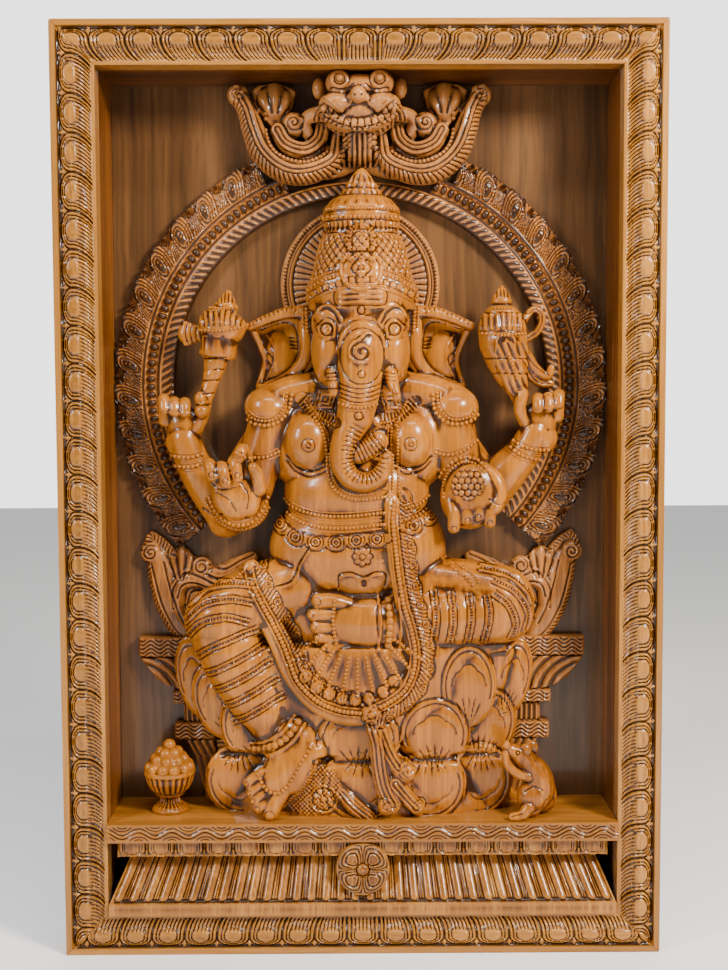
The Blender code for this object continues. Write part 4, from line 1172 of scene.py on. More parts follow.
def hands():
    forms = ball(
        -167, 76, 612, 34, 16, 36,
    ) + ball(-186, 78, 622, 14, 12, 24) + ball(-150, 78, 606, 16, 13, 26)
    # Three bent fingers, the raised first finger and the thumb of the blessing hand
    for knuckle, tip in (((-201, 652), (-196, 636)), ((-185, 648), (-178, 627)), ((-168, 656), (-162, 634))):
        (kx, kz), (tx, tz) = knuckle, tip
        forms += limb([
            (kx + 6, 80, kz - 24, 8), (kx, 90, kz - 4, 8.5), (kx + 1, 99, kz, 8.5), (tx, 106, tz, 7),
        ])
    forms += limb([(-152, 80, 638, 9), (-153, 88, 664, 8.5), (-157, 97, 671, 8.5), (-160, 104, 662, 8)])
    forms += limb([(-136, 82, 618, 10), (-139, 92, 640, 9), (-143, 98, 648, 7)])
    # Offering hand: fingers hang below the palm, the thumb turns in over it
    for base, tip, size in (
        ((117, 606), (123, 566), 9), ((138, 596), (141, 576), 8.5), ((154, 596), (155, 580), 8.5),
        ((168, 598), (171, 572), 8.5),
    ):
        forms += limb([
            (base[0], 78, base[1], size), (tip[0], 88, (base[1] + tip[1]) / 2, size),
            (tip[0], 88, tip[1], size - 0.5),
        ])
    forms += ball(148, 80, 607, 37, 17, 43)
    forms += limb([(164, 74, 642, 11), (178, 80, 630, 11), (185, 84, 610, 10), (178, 88, 592, 9)])
    forms += ball(141, 82, 622, 21, 15, 20)
    return forms


def thighs():
    forms = limb([(-92, 44, 482, 46), (-150, 52, 462, 49), (-192, 58, 440, 45)])
    forms += ball(-193, 58, 438, 49, 40, 47)
    forms += limb(
        [
            (-186, 60, 420, 47), (-168, 62, 376, 46), (-144, 62, 330, 39), (-124, 62, 292, 30),
            (-112, 62, 264, 27),
        ],
        flat=0.82,
    )
    forms += limb([(92, 44, 480, 44), (150, 48, 468, 50), (186, 54, 462, 50)], flat=0.85)
    forms += ball(190, 56, 460, 42, 38, 50)
    forms += limb([(192, 64, 448, 42), (140, 70, 444, 41), (92, 72, 440, 38), (46, 74, 438, 34)], flat=0.72)
    forms += ball(-2, 48, 372, 100, 36, 62) + ball(-62, 46, 444, 52, 36, 52)
    return forms


def feet():
    forms = limb(
        [(-92, 76, 272, 35), (-98, 86, 244, 35), (-112, 90, 220, 30), (-120, 92, 204, 22)], flat=0.72,
    )
    forms += ball(-66, 78, 262, 20, 22, 20)
    for x, z, r, lean in ((-154, 228, 6, 10), (-150, 215, 6, 12), (-145, 204, 6.5, 12), (-140, 193, 7, 12)):
        forms += limb([(x + 20, 96, z + lean, r + 1), (x + 6, 103, z + 3, r + 0.5), (x, 104, z - 2, r + 0.3)])
    forms += limb([(-108, 96, 214, 15), (-118, 101, 196, 12), (-123, 103, 184, 10.5)])
    forms += limb([(44, 74, 438, 34), (12, 78, 436, 35), (-20, 78, 438, 34)], flat=0.62)
    for z, reach, size in ((468, -58, 10), (449, -66, 8), (433, -62, 8), (418, -57, 7.5), (405, -48, 7)):
        forms += limb([(-18, 82, 437 + (z - 437) * 0.8, size + 1), (-40, 88, z, size), (reach, 86, z, size)])
    return forms


def cloth():
    """The garland's raised path, the knot under it and the ribbons that hang from the knot."""
    forms = limb(
        [
            (40, 88, 604, 9), (43, 96, 570, 12), (50, 98, 520, 15), (62, 98, 470, 18), (74, 92, 420, 19),
            (76, 90, 376, 19), (54, 92, 338, 18), (4, 94, 318, 18), (-44, 94, 326, 18), (-84, 92, 362, 17),
            (-108, 86, 408, 15), (-132, 80, 458, 14), (-148, 70, 510, 12),
        ],
        flat=0.55,
    )
    forms += ball(12, 100, 318, 15, 11, 14)
    forms += limb(
        [
            (12, 100, 308, 10), (20, 104, 280, 11), (23, 105, 250, 11), (29, 105, 220, 12),
            (40, 104, 194, 11),
        ],
        flat=0.65,
    )
    forms += ball(32, 106, 193, 12, 10, 12)
    forms += limb([(22, 100, 300, 9), (34, 103, 268, 10), (46, 104, 246, 11), (58, 103, 238, 13)], flat=0.65)
    forms += limb([(42, 102, 226, 10), (58, 100, 206, 11), (74, 99, 188, 10)], flat=0.65)
    forms += limb([(-30, 92, 212, 9), (-12, 98, 192, 11), (10, 98, 174, 10)], flat=0.5)
    return forms


SEAT_HALF = ((252, 262, 284, 314, 350, 392, 404), (125, 152, 180, 198, 212, 222, 220))
BASE_HALF = ((172, 195, 225, 246, 252), (206, 202, 188, 166, 140))
UPPER_PETALS = ((144, 350, 37, 56, 0), (206, 354, 26, 54, -12), (-230, 352, 26, 56, 12))
LOWER_PETALS = (
    (-5, 282, 56, 44, 0), (-196, 322, 34, 54, 20), (-150, 292, 42, 52, 16), (172, 290, 38, 52, -14),
    (98, 284, 47, 50, 0),
)
HANGING_PETALS = ((-170, 216, 44, 48, 0), (162, 216, 42, 48, 0), (0, 217, 54, 48, 0), (94, 216, 45, 48, 0))


def curved_front(x, z, halves, flat):
    """How far forward the lotus stands at a place on it."""
    half = np.interp(z, *halves)
    return 34 + flat * half * math.sqrt(max(0.0, 1 - (x / half) ** 2))


def lotus_body():
    seat = [(0, 34, z, half) for z, half in zip(*SEAT_HALF)]
    base = [(0, 34, z, half) for z, half in zip(*BASE_HALF)]
    return limb(seat, flat=0.28, smooth=False) + limb(base, flat=0.3, smooth=False)


def lotus_petals():
    forms = []
    for petals, halves, flat in (
        (UPPER_PETALS, SEAT_HALF, 0.28), (LOWER_PETALS, SEAT_HALF, 0.28), (HANGING_PETALS, BASE_HALF, 0.3),
    ):
        for x, z, across, tall, lean in petals:
            lift = 3 if petals is LOWER_PETALS else 0
            out = curved_front(x, z, halves, flat)
            forms += ball(x, out - 6 + lift, z, across * 1.06, 10, tall * 1.04, turn=lean)
    forms += limb([(-196, 20, 190, 12), (-212, 16, 178, 10)]) + limb([(196, 20, 190, 12), (210, 16, 178, 10)])
    return forms


def figure_skin():
    """Soft body forms are fused and rounded first, then the crisp ones are added."""
    soft = fuse("soft_forms", torso() + head() + rear_arms() + arms() + thighs() + lotus_body(), 3.0, 7)
    left_ear = ear()
    crisp = trunk() + left_ear + other_side(left_ear) + crown() + emblems() + hands() + feet()
    crisp += cloth() + lotus_petals()
    crisp += fist(-238, 48, 702, 1) + fist(240, 48, 706, -1)
    piece = fuse("ganesha_on_lotus_carved", [soft, *crisp], FIGURE_VOXEL, 3)
    trim(piece, at(0, 0, 0), (0, 1, 0))
    trim(piece, at(0, 0, SHELF_TOP), (0, 0, -1))
    return Skin(piece)


def knob(skin, x, z, across, tall, height, rim=0.0):
    """A raised round spot, with a cut round it where rim is more than 0."""
    def rise(px, pz):
        away = np.hypot((px - x) / across, (pz - z) / tall)
        return height * dome(np.clip(away, 0, 1)) - rim * bump((away - 1.1) * min(across, tall), 0.9)
    skin.area((x - across - 3, x + across + 3, z - tall - 3, z + tall + 3), rise)


def ring(skin, x, z, radius, width, height):
    skin.area(
        (x - radius - 4, x + radius + 4, z - radius - 4, z + radius + 4),
        lambda px, pz: height * bump(np.hypot(px - x, pz - z) - radius, width),
    )


def flower(skin, x, z, radius, petals, height):
    def rise(px, pz):
        away, turn = np.hypot(px - x, pz - z), np.arctan2(pz - z, px - x)
        edge = radius * (0.8 + 0.2 * np.abs(np.cos(turn * petals / 2)))
        lobes = 0.55 + 0.45 * np.abs(np.cos(turn * petals / 2))
        raised = height * lobes * dome(np.clip(away / edge, 0, 1))
        eye = height * 0.7 * dome(
            np.clip(away / (radius * 0.28), 0, 1)
        ) - 1.2 * bump(away - radius * 0.32, 0.8)
        return raised + eye - 1.2 * bump(away - edge - 1, 0.9)
    skin.area((x - radius - 3, x + radius + 3, z - radius - 3, z + radius + 3), rise)


def spiral(x, z, radius, turns, start, way=1, tight=0.12):
    """Places along a spiral that winds in to its middle."""
    t = np.linspace(0, 1, int(18 * turns) + 2)
    reach = radius * ((1 - t) * (1 - tight) + tight)
    turn = math.radians(start) + way * 2 * np.pi * turns * t
    return list(zip(x + reach * np.cos(turn), z + reach * np.sin(turn)))


def nicks(depth, pitch, width=0.9, low=-1e9, high=1e9, slant=0.0):
    """Short cuts across a band, one at each pitch along it."""
    def rise(left, along):
        place = (along + slant * left) % pitch - pitch / 2
        return -depth * bump(place, width) * (left > low) * (left < high)
    return rise


def scroll_border(width, pitch, side):
    """Leaf curls that lean along a border, each round an eye, with ribs between."""
    def rise(left, along):
        out = left * side
        unit = (along % pitch) / pitch
        eye = np.hypot((unit - 0.32) * pitch, out - width * 0.62)
        curl = 1.1 * np.cos(np.clip(eye, 0, 7.2) * 2 * np.pi / 3.6) * (eye < 7.2)
        ribs = 1.0 * np.cos((along - 0.6 * out) * 2 * np.pi / (pitch / 5)) * (eye >= 7.2)
        edge = width * (0.82 + 0.18 * np.abs(np.sin(np.pi * unit)))
        return (curl + ribs) * step(edge - out, 0, 1.5) - 1.5 * bump(out - edge - 0.6, 1.2)
    return rise


def carve_face(skin):
    for side in (-1, 1):
        brow = [(side * 60, 846), (side * 52, 857), (side * 42, 860), (side * 32, 853), (side * 25, 841)]
        skin.line(brow, 1.9, 2.6)
        skin.line([(x + side * 2, z - 5) for x, z in brow], 1.3, -1.4)
        x, z = side * 45, 829
        skin.line(
            [(x - side * 10, z - 10), (x - side * 10, z + 5), (x, z + 11), (x + side * 11, z + 3)], 1.5,
            2.4,
        )
        skin.line(
            [
                (x - side * 10, z - 10), (x - side * 2, z - 11), (x + side * 7, z - 7),
                (x + side * 11, z + 3),
            ],
            1.2, 1.6,
        )
        skin.line(
            [(x - side * 13, z - 12), (x - side * 13, z + 6), (x, z + 15), (x + side * 14, z + 5)], 1.0,
            -1.3,
        )
        skin.line([(x - side * 9, z - 14), (x + side * 2, z - 16), (x + side * 11, z - 10)], 1.0, -0.8)
        knob(skin, x, z, 7.2, 7.4, 3.2, 1.6)
        ring(skin, x - side * 0.6, z, 3.0, 0.8, -1.1)
    # Three level forehead bars in their frame, and the spot below them
    for z in (864, 870.5, 877):
        skin.line([(-27, z - 1), (0, z), (28, z - 1)], 2.2, 2.6)
    skin.line([(-31, 860), (-32, 880), (0, 883), (32, 880), (31, 860), (0, 859)], 0.9, -1.6, closed=True)
    knob(skin, 1, 853, 4.6, 4.6, 2.6, 1.8)
    # Shield on the trunk's root, with a plain curl in it
    shield = [
        (2, 830), (-12, 826), (-23, 814), (-27, 797), (-25, 778), (-14, 761), (2, 756), (18, 761),
        (29, 778), (31, 797), (27, 814), (16, 826),
    ]
    skin.area(
        (-30, 34, 755, 832), lambda x, z: 1.2 * dome(np.clip(np.hypot((x - 2) / 29, (z - 793) / 37), 0, 1)),
    )
    skin.line(shield, 1.2, -2.0, closed=True)
    skin.line([(-27, 806), (-24, 820), (-13, 832), (2, 836), (17, 832), (28, 820), (31, 806)], 1.6, 2.2)
    skin.line([(-32, 806), (-28, 824), (-15, 837), (2, 841), (19, 837), (32, 824), (36, 806)], 1.1, -1.3)
    skin.line(spiral(1, 797, 17, 1.8, 100, 1), 1.7, 2.5)
    skin.line([(-2, 814), (10, 823), (18, 817)], 1.5, 2.0)
    knob(skin, 1, 769, 4, 4, 1.8, 1.2)
    for z in (754, 748, 742, 736):
        skin.line([(-29, z + 4), (-14, z - 2), (0, z - 4), (14, z - 2), (29, z + 4)], 1.0, -1.9)
    knob(skin, -3, 715, 5, 5, 2.8, 1.6)
    curl = [
        (-8, 708), (-16, 694), (-22, 680), (-25, 662), (-21, 643), (-8, 630), (9, 627), (23, 634),
        (31, 646), (34, 658),
    ]
    skin.band(
        curl, -6, 17,
        lambda left, along: -1.9 * bump(along % 6.3 - 3.1, 1.0) * step(left, -6, 1) * step(along, 0, 6),
    )
    skin.band([(-6, 663), (10, 671), (27, 683)], -15, 15, nicks(1.8, 5.2, 1.0))
    for side in (-1, 1):
        for z in (772, 767, 762):
            skin.line([(side * 30, z), (side * 46, z - 1)], 1.0, -1.6)


def carve_crown(skin):
    def around(x, z):
        half = np.interp(
            z, [860, 884, 906, 940, 963, 981, 995, 1009, 1022, 1040],
            [72, 77, 68, 60, 48, 51, 44, 27, 20, 10],
        )
        return np.arcsin(np.clip((x - 2) / half, -0.999, 0.999))

    def lattice(x, z):
        s = around(x, z) * 58
        one, two = (s + 0.85 * z) % 11 - 5.5, (s - 0.85 * z) % 11 - 5.5
        rim = 913 - 22 * (x / 72) ** 2
        return (
            -1.9 * bump(one, 1.1) - 1.9 * bump(two, 1.1) + 0.7
        ) * step(z - rim, 0, 3) * step(-z, -957, -954)
    skin.area((-70, 72, 892, 958), lattice)
    # Turban rings: ribs, a groove, a row of beads, then the ribbed upper dome
    skin.area((-58, 62, 959, 971), lambda x, z: 1.3 * np.cos(around(x, z) * 40) * step(z, 959, 961))
    skin.area((-54, 58, 990, 1006), lambda x, z: 1.1 * np.abs(np.cos(around(x, z) * 9)) - 0.7)
    skin.area((-30, 34, 1010, 1016), lambda x, z: 0.9 * np.cos(around(x, z) * 16))
    skin.area((-24, 28, 1018, 1038), lambda x, z: 1.2 * np.cos(around(x, z) * 12) * step(-z, -1038, -1032))
    squares = [(-74, 870), (-42, 885), (2, 892), (44, 886), (75, 871)]
    skin.band(
        squares, -5, 5,
        lambda left, along: 1.9 * (np.abs(along % 9 - 4.5) < 3.4) * (np.abs(left) < 3.8) - 0.5,
    )
    for z in (957, 972.5, 984, 1008, 1017):
        skin.line([(-60, z), (0, z + 0.5), (62, z)], 1.2, -1.8)

    # Jewel at the front: a fan of rays round an arched stone, over a flower in a ring
    def palmette(x, z):
        away, turn = np.hypot((x - 1) / 0.84, z - 944), np.arctan2((x - 1) / 0.84, z - 944)
        fan = step(24.5 + 1.2 * np.cos(turn * 24) - away, 0, 1.2) * (z > 930)
        rays = 1.3 * np.cos(turn * 24) * (away > 14.5)
        return (3.8 + rays) * fan
    skin.area((-24, 26, 928, 972), palmette)

    def stone(x, z):
        away = np.maximum(
            np.abs(x - 1) / 10.5, np.where(z > 944, np.hypot((x - 1) / 10.5, (z - 944) / 10.5), 0),
        )
        lines = 0.8 * bump((x - 1) % 4.4 - 2.2, 0.7) + 0.8 * bump(z % 4.4 - 2.2, 0.7)
        return step(1 - away, 0, 0.12) * (1.6 - lines) - 1.8 * bump((away - 1.08) * 10.5, 0.9)
    skin.area((-12, 14, 926, 958), stone)
    skin.area(
        (-26, 28, 880, 930), lambda x, z: 2.2 * step(1 - np.hypot((x - 1) / 25, (z - 904) / 25), 0, 0.1),
    )
    flower(skin, 1, 907, 11.5, 4, 4.2)
    knob(skin, 1, 889, 5, 5.5, 2.4, 0.8)
    for side in (-1, 1):
        skin.line(spiral(side * 84, 870, 11, 1.5, 90, side), 1.4, 2.0)


def carve_ears(skin):
    for side in (-1, 1):
        def flip(points):
            return [(side * -x, z) for x, z in points]
        skin.line(
            flip([(-136, 833), (-112, 842), (-92, 838), (-86, 812), (-90, 788), (-108, 772), (-134, 760)]),
            1.4, -1.6,
        )
        skin.line(flip([(-128, 824), (-118, 808), (-118, 790), (-124, 776), (-130, 764)]), 1.6, 1.3)
        upper = flip([(-84, 857), (-104, 860), (-128, 853), (-149, 841)])
        skin.band(upper, -8, 8, lambda left, along: -1.5 * bump(along % 6.5 - 3.2, 0.9) * (np.abs(left) < 6))
        for z in (806, 811, 816, 821):
            skin.line(flip([(-88, z), (-96, z + 1)]), 0.9, -1.4)
        skin.line(flip([(-126, 800), (-120, 792), (-122, 782)]), 1.3, -1.3)
        skin.line(flip([(-128, 790), (-124, 783), (-127, 775)]), 1.3, -1.3)


def carve_torso(skin):
    for x, z in ((-70, 676), (66, 677)):
        ring(skin, x, z, 9, 0.9, -1.3)
        ring(skin, x, z, 5, 0.8, 1.2)
        knob(skin, x, z, 2.6, 2.6, 1.6)
    for lift in (0, -7):
        skin.line([(-100, 662 + lift), (-88, 647 + lift), (-68, 641 + lift), (-48, 648 + lift)], 1.5, -2.6)
        skin.line([(46, 652 + lift), (62, 644 + lift), (82, 648 + lift), (94, 660 + lift)], 1.5, -2.6)
    skin.line([(-70, 541), (-84, 518), (-94, 496), (-116, 488)], 1.3, -2.4)
    skin.line([(-66, 541), (-80, 518), (-90, 494), (-114, 484)], 1.2, 1.2)
    flower(skin, 1, 529, 13, 8, 3.2)
    fold = [(-31, 486), (-30, 503), (-14, 507), (2, 501), (18, 507), (32, 504), (32, 488)]
    skin.line(fold, 1.2, -2.2)
    skin.line([(x, z - 4) for x, z in fold], 1.2, 1.0)
    knob(skin, 3, 492, 4, 6, -3.6)
    skin.area((-30, 32, 478, 502), lambda x, z: 1.2 * dome(np.clip(np.hypot(x / 30, (z - 486) / 16), 0, 1)))
    # Fringe of the belt: round-eyed scallops below two bead rows
    for fringe in (
        [(-117, 580), (-98, 559), (-70, 550), (-40, 548), (0, 552), (34, 553)],
        [(56, 566), (74, 570), (98, 582)],
    ):
        def scallop(left, along):
            unit = (along % 27) - 13.5
            edge = 12 * dome(np.abs(unit) / 14.5)
            away = np.hypot(unit, left + 1)
            inside = step(left + edge, -0.5, 1.5) * (left < 6)
            ripple = 1.2 * np.cos(np.clip(away, 0, 12) * 2 * np.pi / 4.2)
            return inside * (1.8 + ripple) - 1.4 * bump(left + edge + 1.5, 1.1)
        skin.band(fringe, -16, 7, scallop)
    # Knotted hem round the neck: a hatched collar with two ribbed pendants
    for collar in ([(-80, 738), (-58, 716), (-34, 706)], [(24, 708), (50, 714), (74, 734)]):
        skin.band(
            collar, -12, 12, lambda left, along: 1.2 * np.cos(along * 2 * np.pi / 5) * (np.abs(left) < 8),
        )
    for x, z, lean in ((-47, 737, 0.3), (41, 731, -0.3)):
        def pendant(px, pz, x=x, z=z, lean=lean):
            across = (px - x - lean * (pz - z)) / 13
            up = (pz - z) / 13
            inside = step(1 - np.maximum(np.abs(across), np.abs(up)), 0, 0.12)
            return inside * (2.0 + 1.2 * np.cos(np.maximum(np.abs(across), np.abs(up)) * 13))
        skin.area((x - 17, x + 17, z - 16, z + 16), pendant)


def nail(skin, x, z, size):
    knob(skin, x, z, size, size * 1.15, 0.9, 1.3)


def carve_arms(skin):
    for x, z in ((-196, 639), (-178, 630), (-162, 637), (-160, 665)):
        nail(skin, x, z, 3.6)
    for x, z in ((123, 566), (141, 577), (155, 581), (171, 573)):
        nail(skin, x, z - 3, 4.2)
    for points in (
        [(-192, 614), (-176, 604), (-166, 588)], [(-160, 628), (-150, 610), (-152, 592)],
        [(-199, 626), (-186, 618), (-160, 622)],
    ):
        skin.line(points, 1.1, -1.6)
    # The sweet in the offering hand is a heap of small balls in rows
    def heap(x, z):
        row = np.floor((z - 600) / 8.2)
        ox = (x - 141 + 4.2 * (row % 2)) % 8.4 - 4.2
        oz = (z - 600) % 8.2 - 4.1
        inside = np.hypot((x - 141) / 21, (z - 624) / 20) < 1
        return (3.2 * dome(np.clip(np.hypot(ox, oz) / 4.2, 0, 1)) - 1) * inside
    skin.area((118, 164, 603, 646), heap)
    for x in (-262, -249, -235):
        skin.line([(x - 4, 722), (x + 1, 720), (x + 5, 722)], 0.9, -1.3)
    for x in (236, 249, 262):
        skin.line([(x - 5, 722), (x, 720), (x + 4, 722)], 0.9, -1.3)
    for elbow in ([(-214, 590), (-200, 582), (-186, 584)], [(196, 600), (184, 596), (170, 604)]):
        skin.line(elbow, 1.4, -1.6)


def carve_emblems(skin):
    for z in (730, 745, 762, 776, 791):
        skin.line([(-226, z), (-180, z + 1)], 1.2, -1.8)
    skin.area((-216, -168, 796, 822), lambda x, z: 1.6 * np.abs(np.cos((x + 191) * np.pi / 16)) - 0.6)
    skin.area(
        (-220, -150, 834, 856), lambda x, z: 1.5 * np.cos((x + 184) * 2 * np.pi / (7 + 0.05 * (z - 834))),
    )
    skin.area((-192, -168, 866, 884), lambda x, z: 1.0 * np.cos((x + 179) * 2 * np.pi / 5))
    for off in (0, 7, 14):
        skin.line(
            [(-219 - off, 841 - off * 0.1), (-222 - off, 826), (-219 - off, 812 + off * 0.1)], 1.1, -1.6,
        )
    skin.area((162, 220, 828, 852), lambda x, z: 1.4 * np.cos((x - 190) * 2 * np.pi / 8))
    skin.area((176, 205, 872, 890), lambda x, z: 0.9 * np.cos((x - 190) * 2 * np.pi / 5))
    skin.area((180, 226, 744, 812), lambda x, z: 1.0 * np.cos((x - 0.45 * (812 - z) - 190) * 2 * np.pi / 10))
    arch = [(180, 800), (182, 816), (192, 824), (204, 816), (206, 800)]
    skin.line(arch, 1.5, 2.0)
    for z in (770, 790, 826, 852, 863):
        skin.line([(160, z), (224, z)], 1.1, -1.7)
    for ribbon in (
        [(226, 850), (237, 857), (246, 846), (240, 828), (226, 818)], [(216, 812), (232, 784), (256, 768)],
        [(218, 788), (238, 760), (258, 757)],
    ):
        skin.line(ribbon, 0.9, -1.8)


def cloth_bands(skin, lines, lift):
    for points in lines:
        path = smooth_path(points, 2.0)
        for off in (-3.4, 3.4):
            skin.line(None, 1.0, lift, path=beside(path, off))
        for off in (-5.6, 5.6):
            skin.line(None, 1.0, -1.5, path=beside(path, off))
        skin.band(
            points, -2.6, 2.6, lambda left, along: -2.4 * bump(along % 4.2 - 2.1, 1.0) * bump(left, 1.4),
        )


LEFT_LEG_BANDS = [
    [(-236, 462), (-208, 484), (-172, 492), (-140, 490)],
    [(-240, 438), (-212, 464), (-176, 472), (-146, 468)],
    [(-240, 414), (-214, 440), (-180, 448), (-150, 440)],
    [(-226, 388), (-204, 404), (-168, 420), (-140, 430)],
    [(-216, 366), (-194, 376), (-158, 394), (-131, 408)],
    [(-203, 344), (-184, 352), (-150, 370), (-122, 386)],
    [(-190, 322), (-172, 330), (-140, 348), (-112, 364)],
    [(-176, 300), (-160, 308), (-130, 326), (-105, 340)],
]
RIGHT_LEG_BANDS = [
    [(96, 480), (99, 446), (96, 414)], [(119, 478), (122, 446), (118, 412)],
    [(143, 476), (146, 446), (141, 410)], [(167, 474), (170, 446), (164, 412)],
    [(176, 478), (196, 462), (206, 436), (200, 414)], [(176, 496), (206, 480), (224, 450), (220, 424)],
    [(160, 510), (196, 502), (222, 482), (232, 462)],
]


def carve_legs(skin):
    cloth_bands(skin, LEFT_LEG_BANDS + RIGHT_LEG_BANDS, 1.8)
    for x, z, size in (
        (-124, 184, 8.5), (-141, 192, 4.5), (-147, 203, 4.2), (-152, 214, 4), (-155, 226, 3.8),
    ):
        nail(skin, x, z - size * 0.3, size * 0.75)
    for z, x, size in ((468, -61, 5.5), (449, -69, 4), (433, -65, 4), (418, -60, 3.8), (405, -51, 3.5)):
        nail(skin, x, z, size)
    skin.line([(40, 478), (22, 462), (20, 440), (24, 412)], 1.4, -1.6)
    anklet = [(-150, 262), (-128, 268), (-102, 284), (-84, 306)]
    path = smooth_path(anklet, 2.0)
    for off in (-8.5, 8.5):
        skin.line(None, 2.0, 3.2, path=beside(path, off))
    for x in (22, 50):
        skin.line([(x, 474), (x + 3, 438), (x, 402)], 1.8, 3.0)


def carve_cloth(skin):
    right = [
        (44, 604), (42, 575), (45, 540), (50, 500), (56, 465), (66, 430), (71, 400), (68, 372), (55, 347),
        (32, 331), (12, 323),
    ]
    left = [
        (0, 319), (-30, 323), (-60, 336), (-85, 361), (-98, 392), (-106, 412), (-120, 440), (-135, 470),
        (-147, 494), (-152, 512),
    ]
    # Bead band with a border of leaf curls on its outer side
    for points, side in ((right, 1), (left, -1)):
        path = smooth_path(points, 2.0)
        for off in (-5.5, 5.5):
            skin.line(None, 1.1, 2.0, path=beside(path, off))
        skin.line(None, 1.3, -1.8, path=beside(path, side * 8))
        border = beside(smooth_path(points, 3.0), side * 9)
        width, low, high = (19, -2, 23) if side > 0 else (17, -23, 2)
        skin.band([tuple(p) for p in border[::4]], low, high, scroll_border(width, 27, side))
    # Pleated loincloth below the foot
    def pleats(x, z):
        away, turn = np.hypot(x + 6, z - 452), np.arctan2(x + 6, 452 - z)
        inside = step(118 - away, 0, 4) * step(away, 48, 54) * (np.abs(turn) < 1.15)
        rib = np.cos(turn * 2 * np.pi / 0.19)
        return inside * (0.6 * rib + 0.8)
    skin.area((-84, 66, 330, 404), pleats)
    for x, z in ((-76, 368), (-61, 353), (-44, 344), (-27, 338), (-9, 336), (9, 338), (28, 346), (42, 360)):
        knob(skin, x, z, 8, 8, 6.5, 0.7)
        ring(skin, x, z, 3.6, 0.8, -0.8)
    # Ribbons from the knot
    flower(skin, 12, 318, 14, 5, 3.0)
    for points, half in (
        ([(12, 306), (20, 280), (23, 250), (29, 220), (40, 196)], 9),
        ([(24, 296), (36, 266), (48, 246)], 8), ([(44, 224), (58, 206), (72, 190)], 8),
    ):
        skin.band(points, -half, half, lambda left, along: 1.2 * np.cos(left * 2 * np.pi / 6))
    for x, z, radius, way in ((32, 195, 11, 1), (62, 243, 13, -1), (77, 192, 8, -1)):
        knob(skin, x, z, radius, radius, 2.5, 0.8)
        skin.line(spiral(x, z, radius * 0.85, 1.5, 200 if way > 0 else -20, way), 1.4, -1.8)
    skin.band(
        [(-28, 208), (-12, 191), (8, 175)], -9, 9, lambda left, along: 1.1 * np.cos(left * 2 * np.pi / 5.5),
    )


def petal(skin, x, z, across, tall, lean, far, hanging=False):
    """Carves a lip, an inner line and root veins into one lotus petal."""
    turn = math.radians(lean)

    def rise(px, pz):
        ox, oz = px - x, pz - z
        s = (ox * math.cos(turn) + oz * math.sin(turn)) / across
        t = (-ox * math.sin(turn) + oz * math.cos(turn)) / tall * (-1 if hanging else 1)
        edge = np.hypot(s, t)
        inside = edge < 1.0
        lip = 1.3 * bump((edge - 0.95) * across, 1.6) - 1.2 * bump((edge - 0.87) * across, 0.8)
        inner = 0.6 + 0.07 * np.abs(np.cos(3 * np.arctan2(s, t + 0.2)))
        line = -1.0 * bump((np.hypot(s, t + 0.12) - inner) * across, 0.8) * (t > 0.0)
        fan = np.arctan2(s, t + 1.15)
        reach = np.hypot(s, t + 1.15)
        veins = -2.0 * np.clip(
            np.cos(fan * 22), 0, 1,
        ) ** 4 * step(0.95 - reach, 0, 0.25) * (np.abs(fan) < 0.62)
        above = t > -0.35
        return ((lip * above + line + veins) * inside - 1.6 * bump((edge - 1.05) * across, 1.6) * above)
    skin.area((x - across * 1.3, x + across * 1.3, z - tall * 1.25, z + tall * 1.25), rise, far)


def carve_lotus(skin):
    for x, z, across, tall, lean in UPPER_PETALS + LOWER_PETALS:
        far = curved_front(x, z, SEAT_HALF, 0.28) + 12
        petal(skin, x, z, across * 0.96, tall * 0.96, lean, far)
    for x, z, across, tall, lean in HANGING_PETALS:
        far = curved_front(x, z, BASE_HALF, 0.3) + 9
        petal(skin, x, z, across * 0.96, tall * 0.96, lean, far, hanging=True)
    skin.line([(-190, 252), (-60, 250), (0, 250), (60, 250), (186, 252)], 5.0, -6.5, far=98)
    # Cross-hatched cloth with a flower, under the foot
    def hatch(x, z):
        inside = step(1 - np.hypot((x + 68) / 42, (z - 212) / 38), 0, 0.1)
        one, two = (x + z) % 6 - 3, (x - z) % 6 - 3
        return inside * (1.4 - 1.6 * bump(one, 0.9) - 1.6 * bump(two, 0.9))
    skin.area((-112, -24, 172, 252), hatch, 101)
    flower(skin, -52, 199, 15, 9, 3.0)
    ring(skin, -52, 199, 18, 1.3, 2.0)


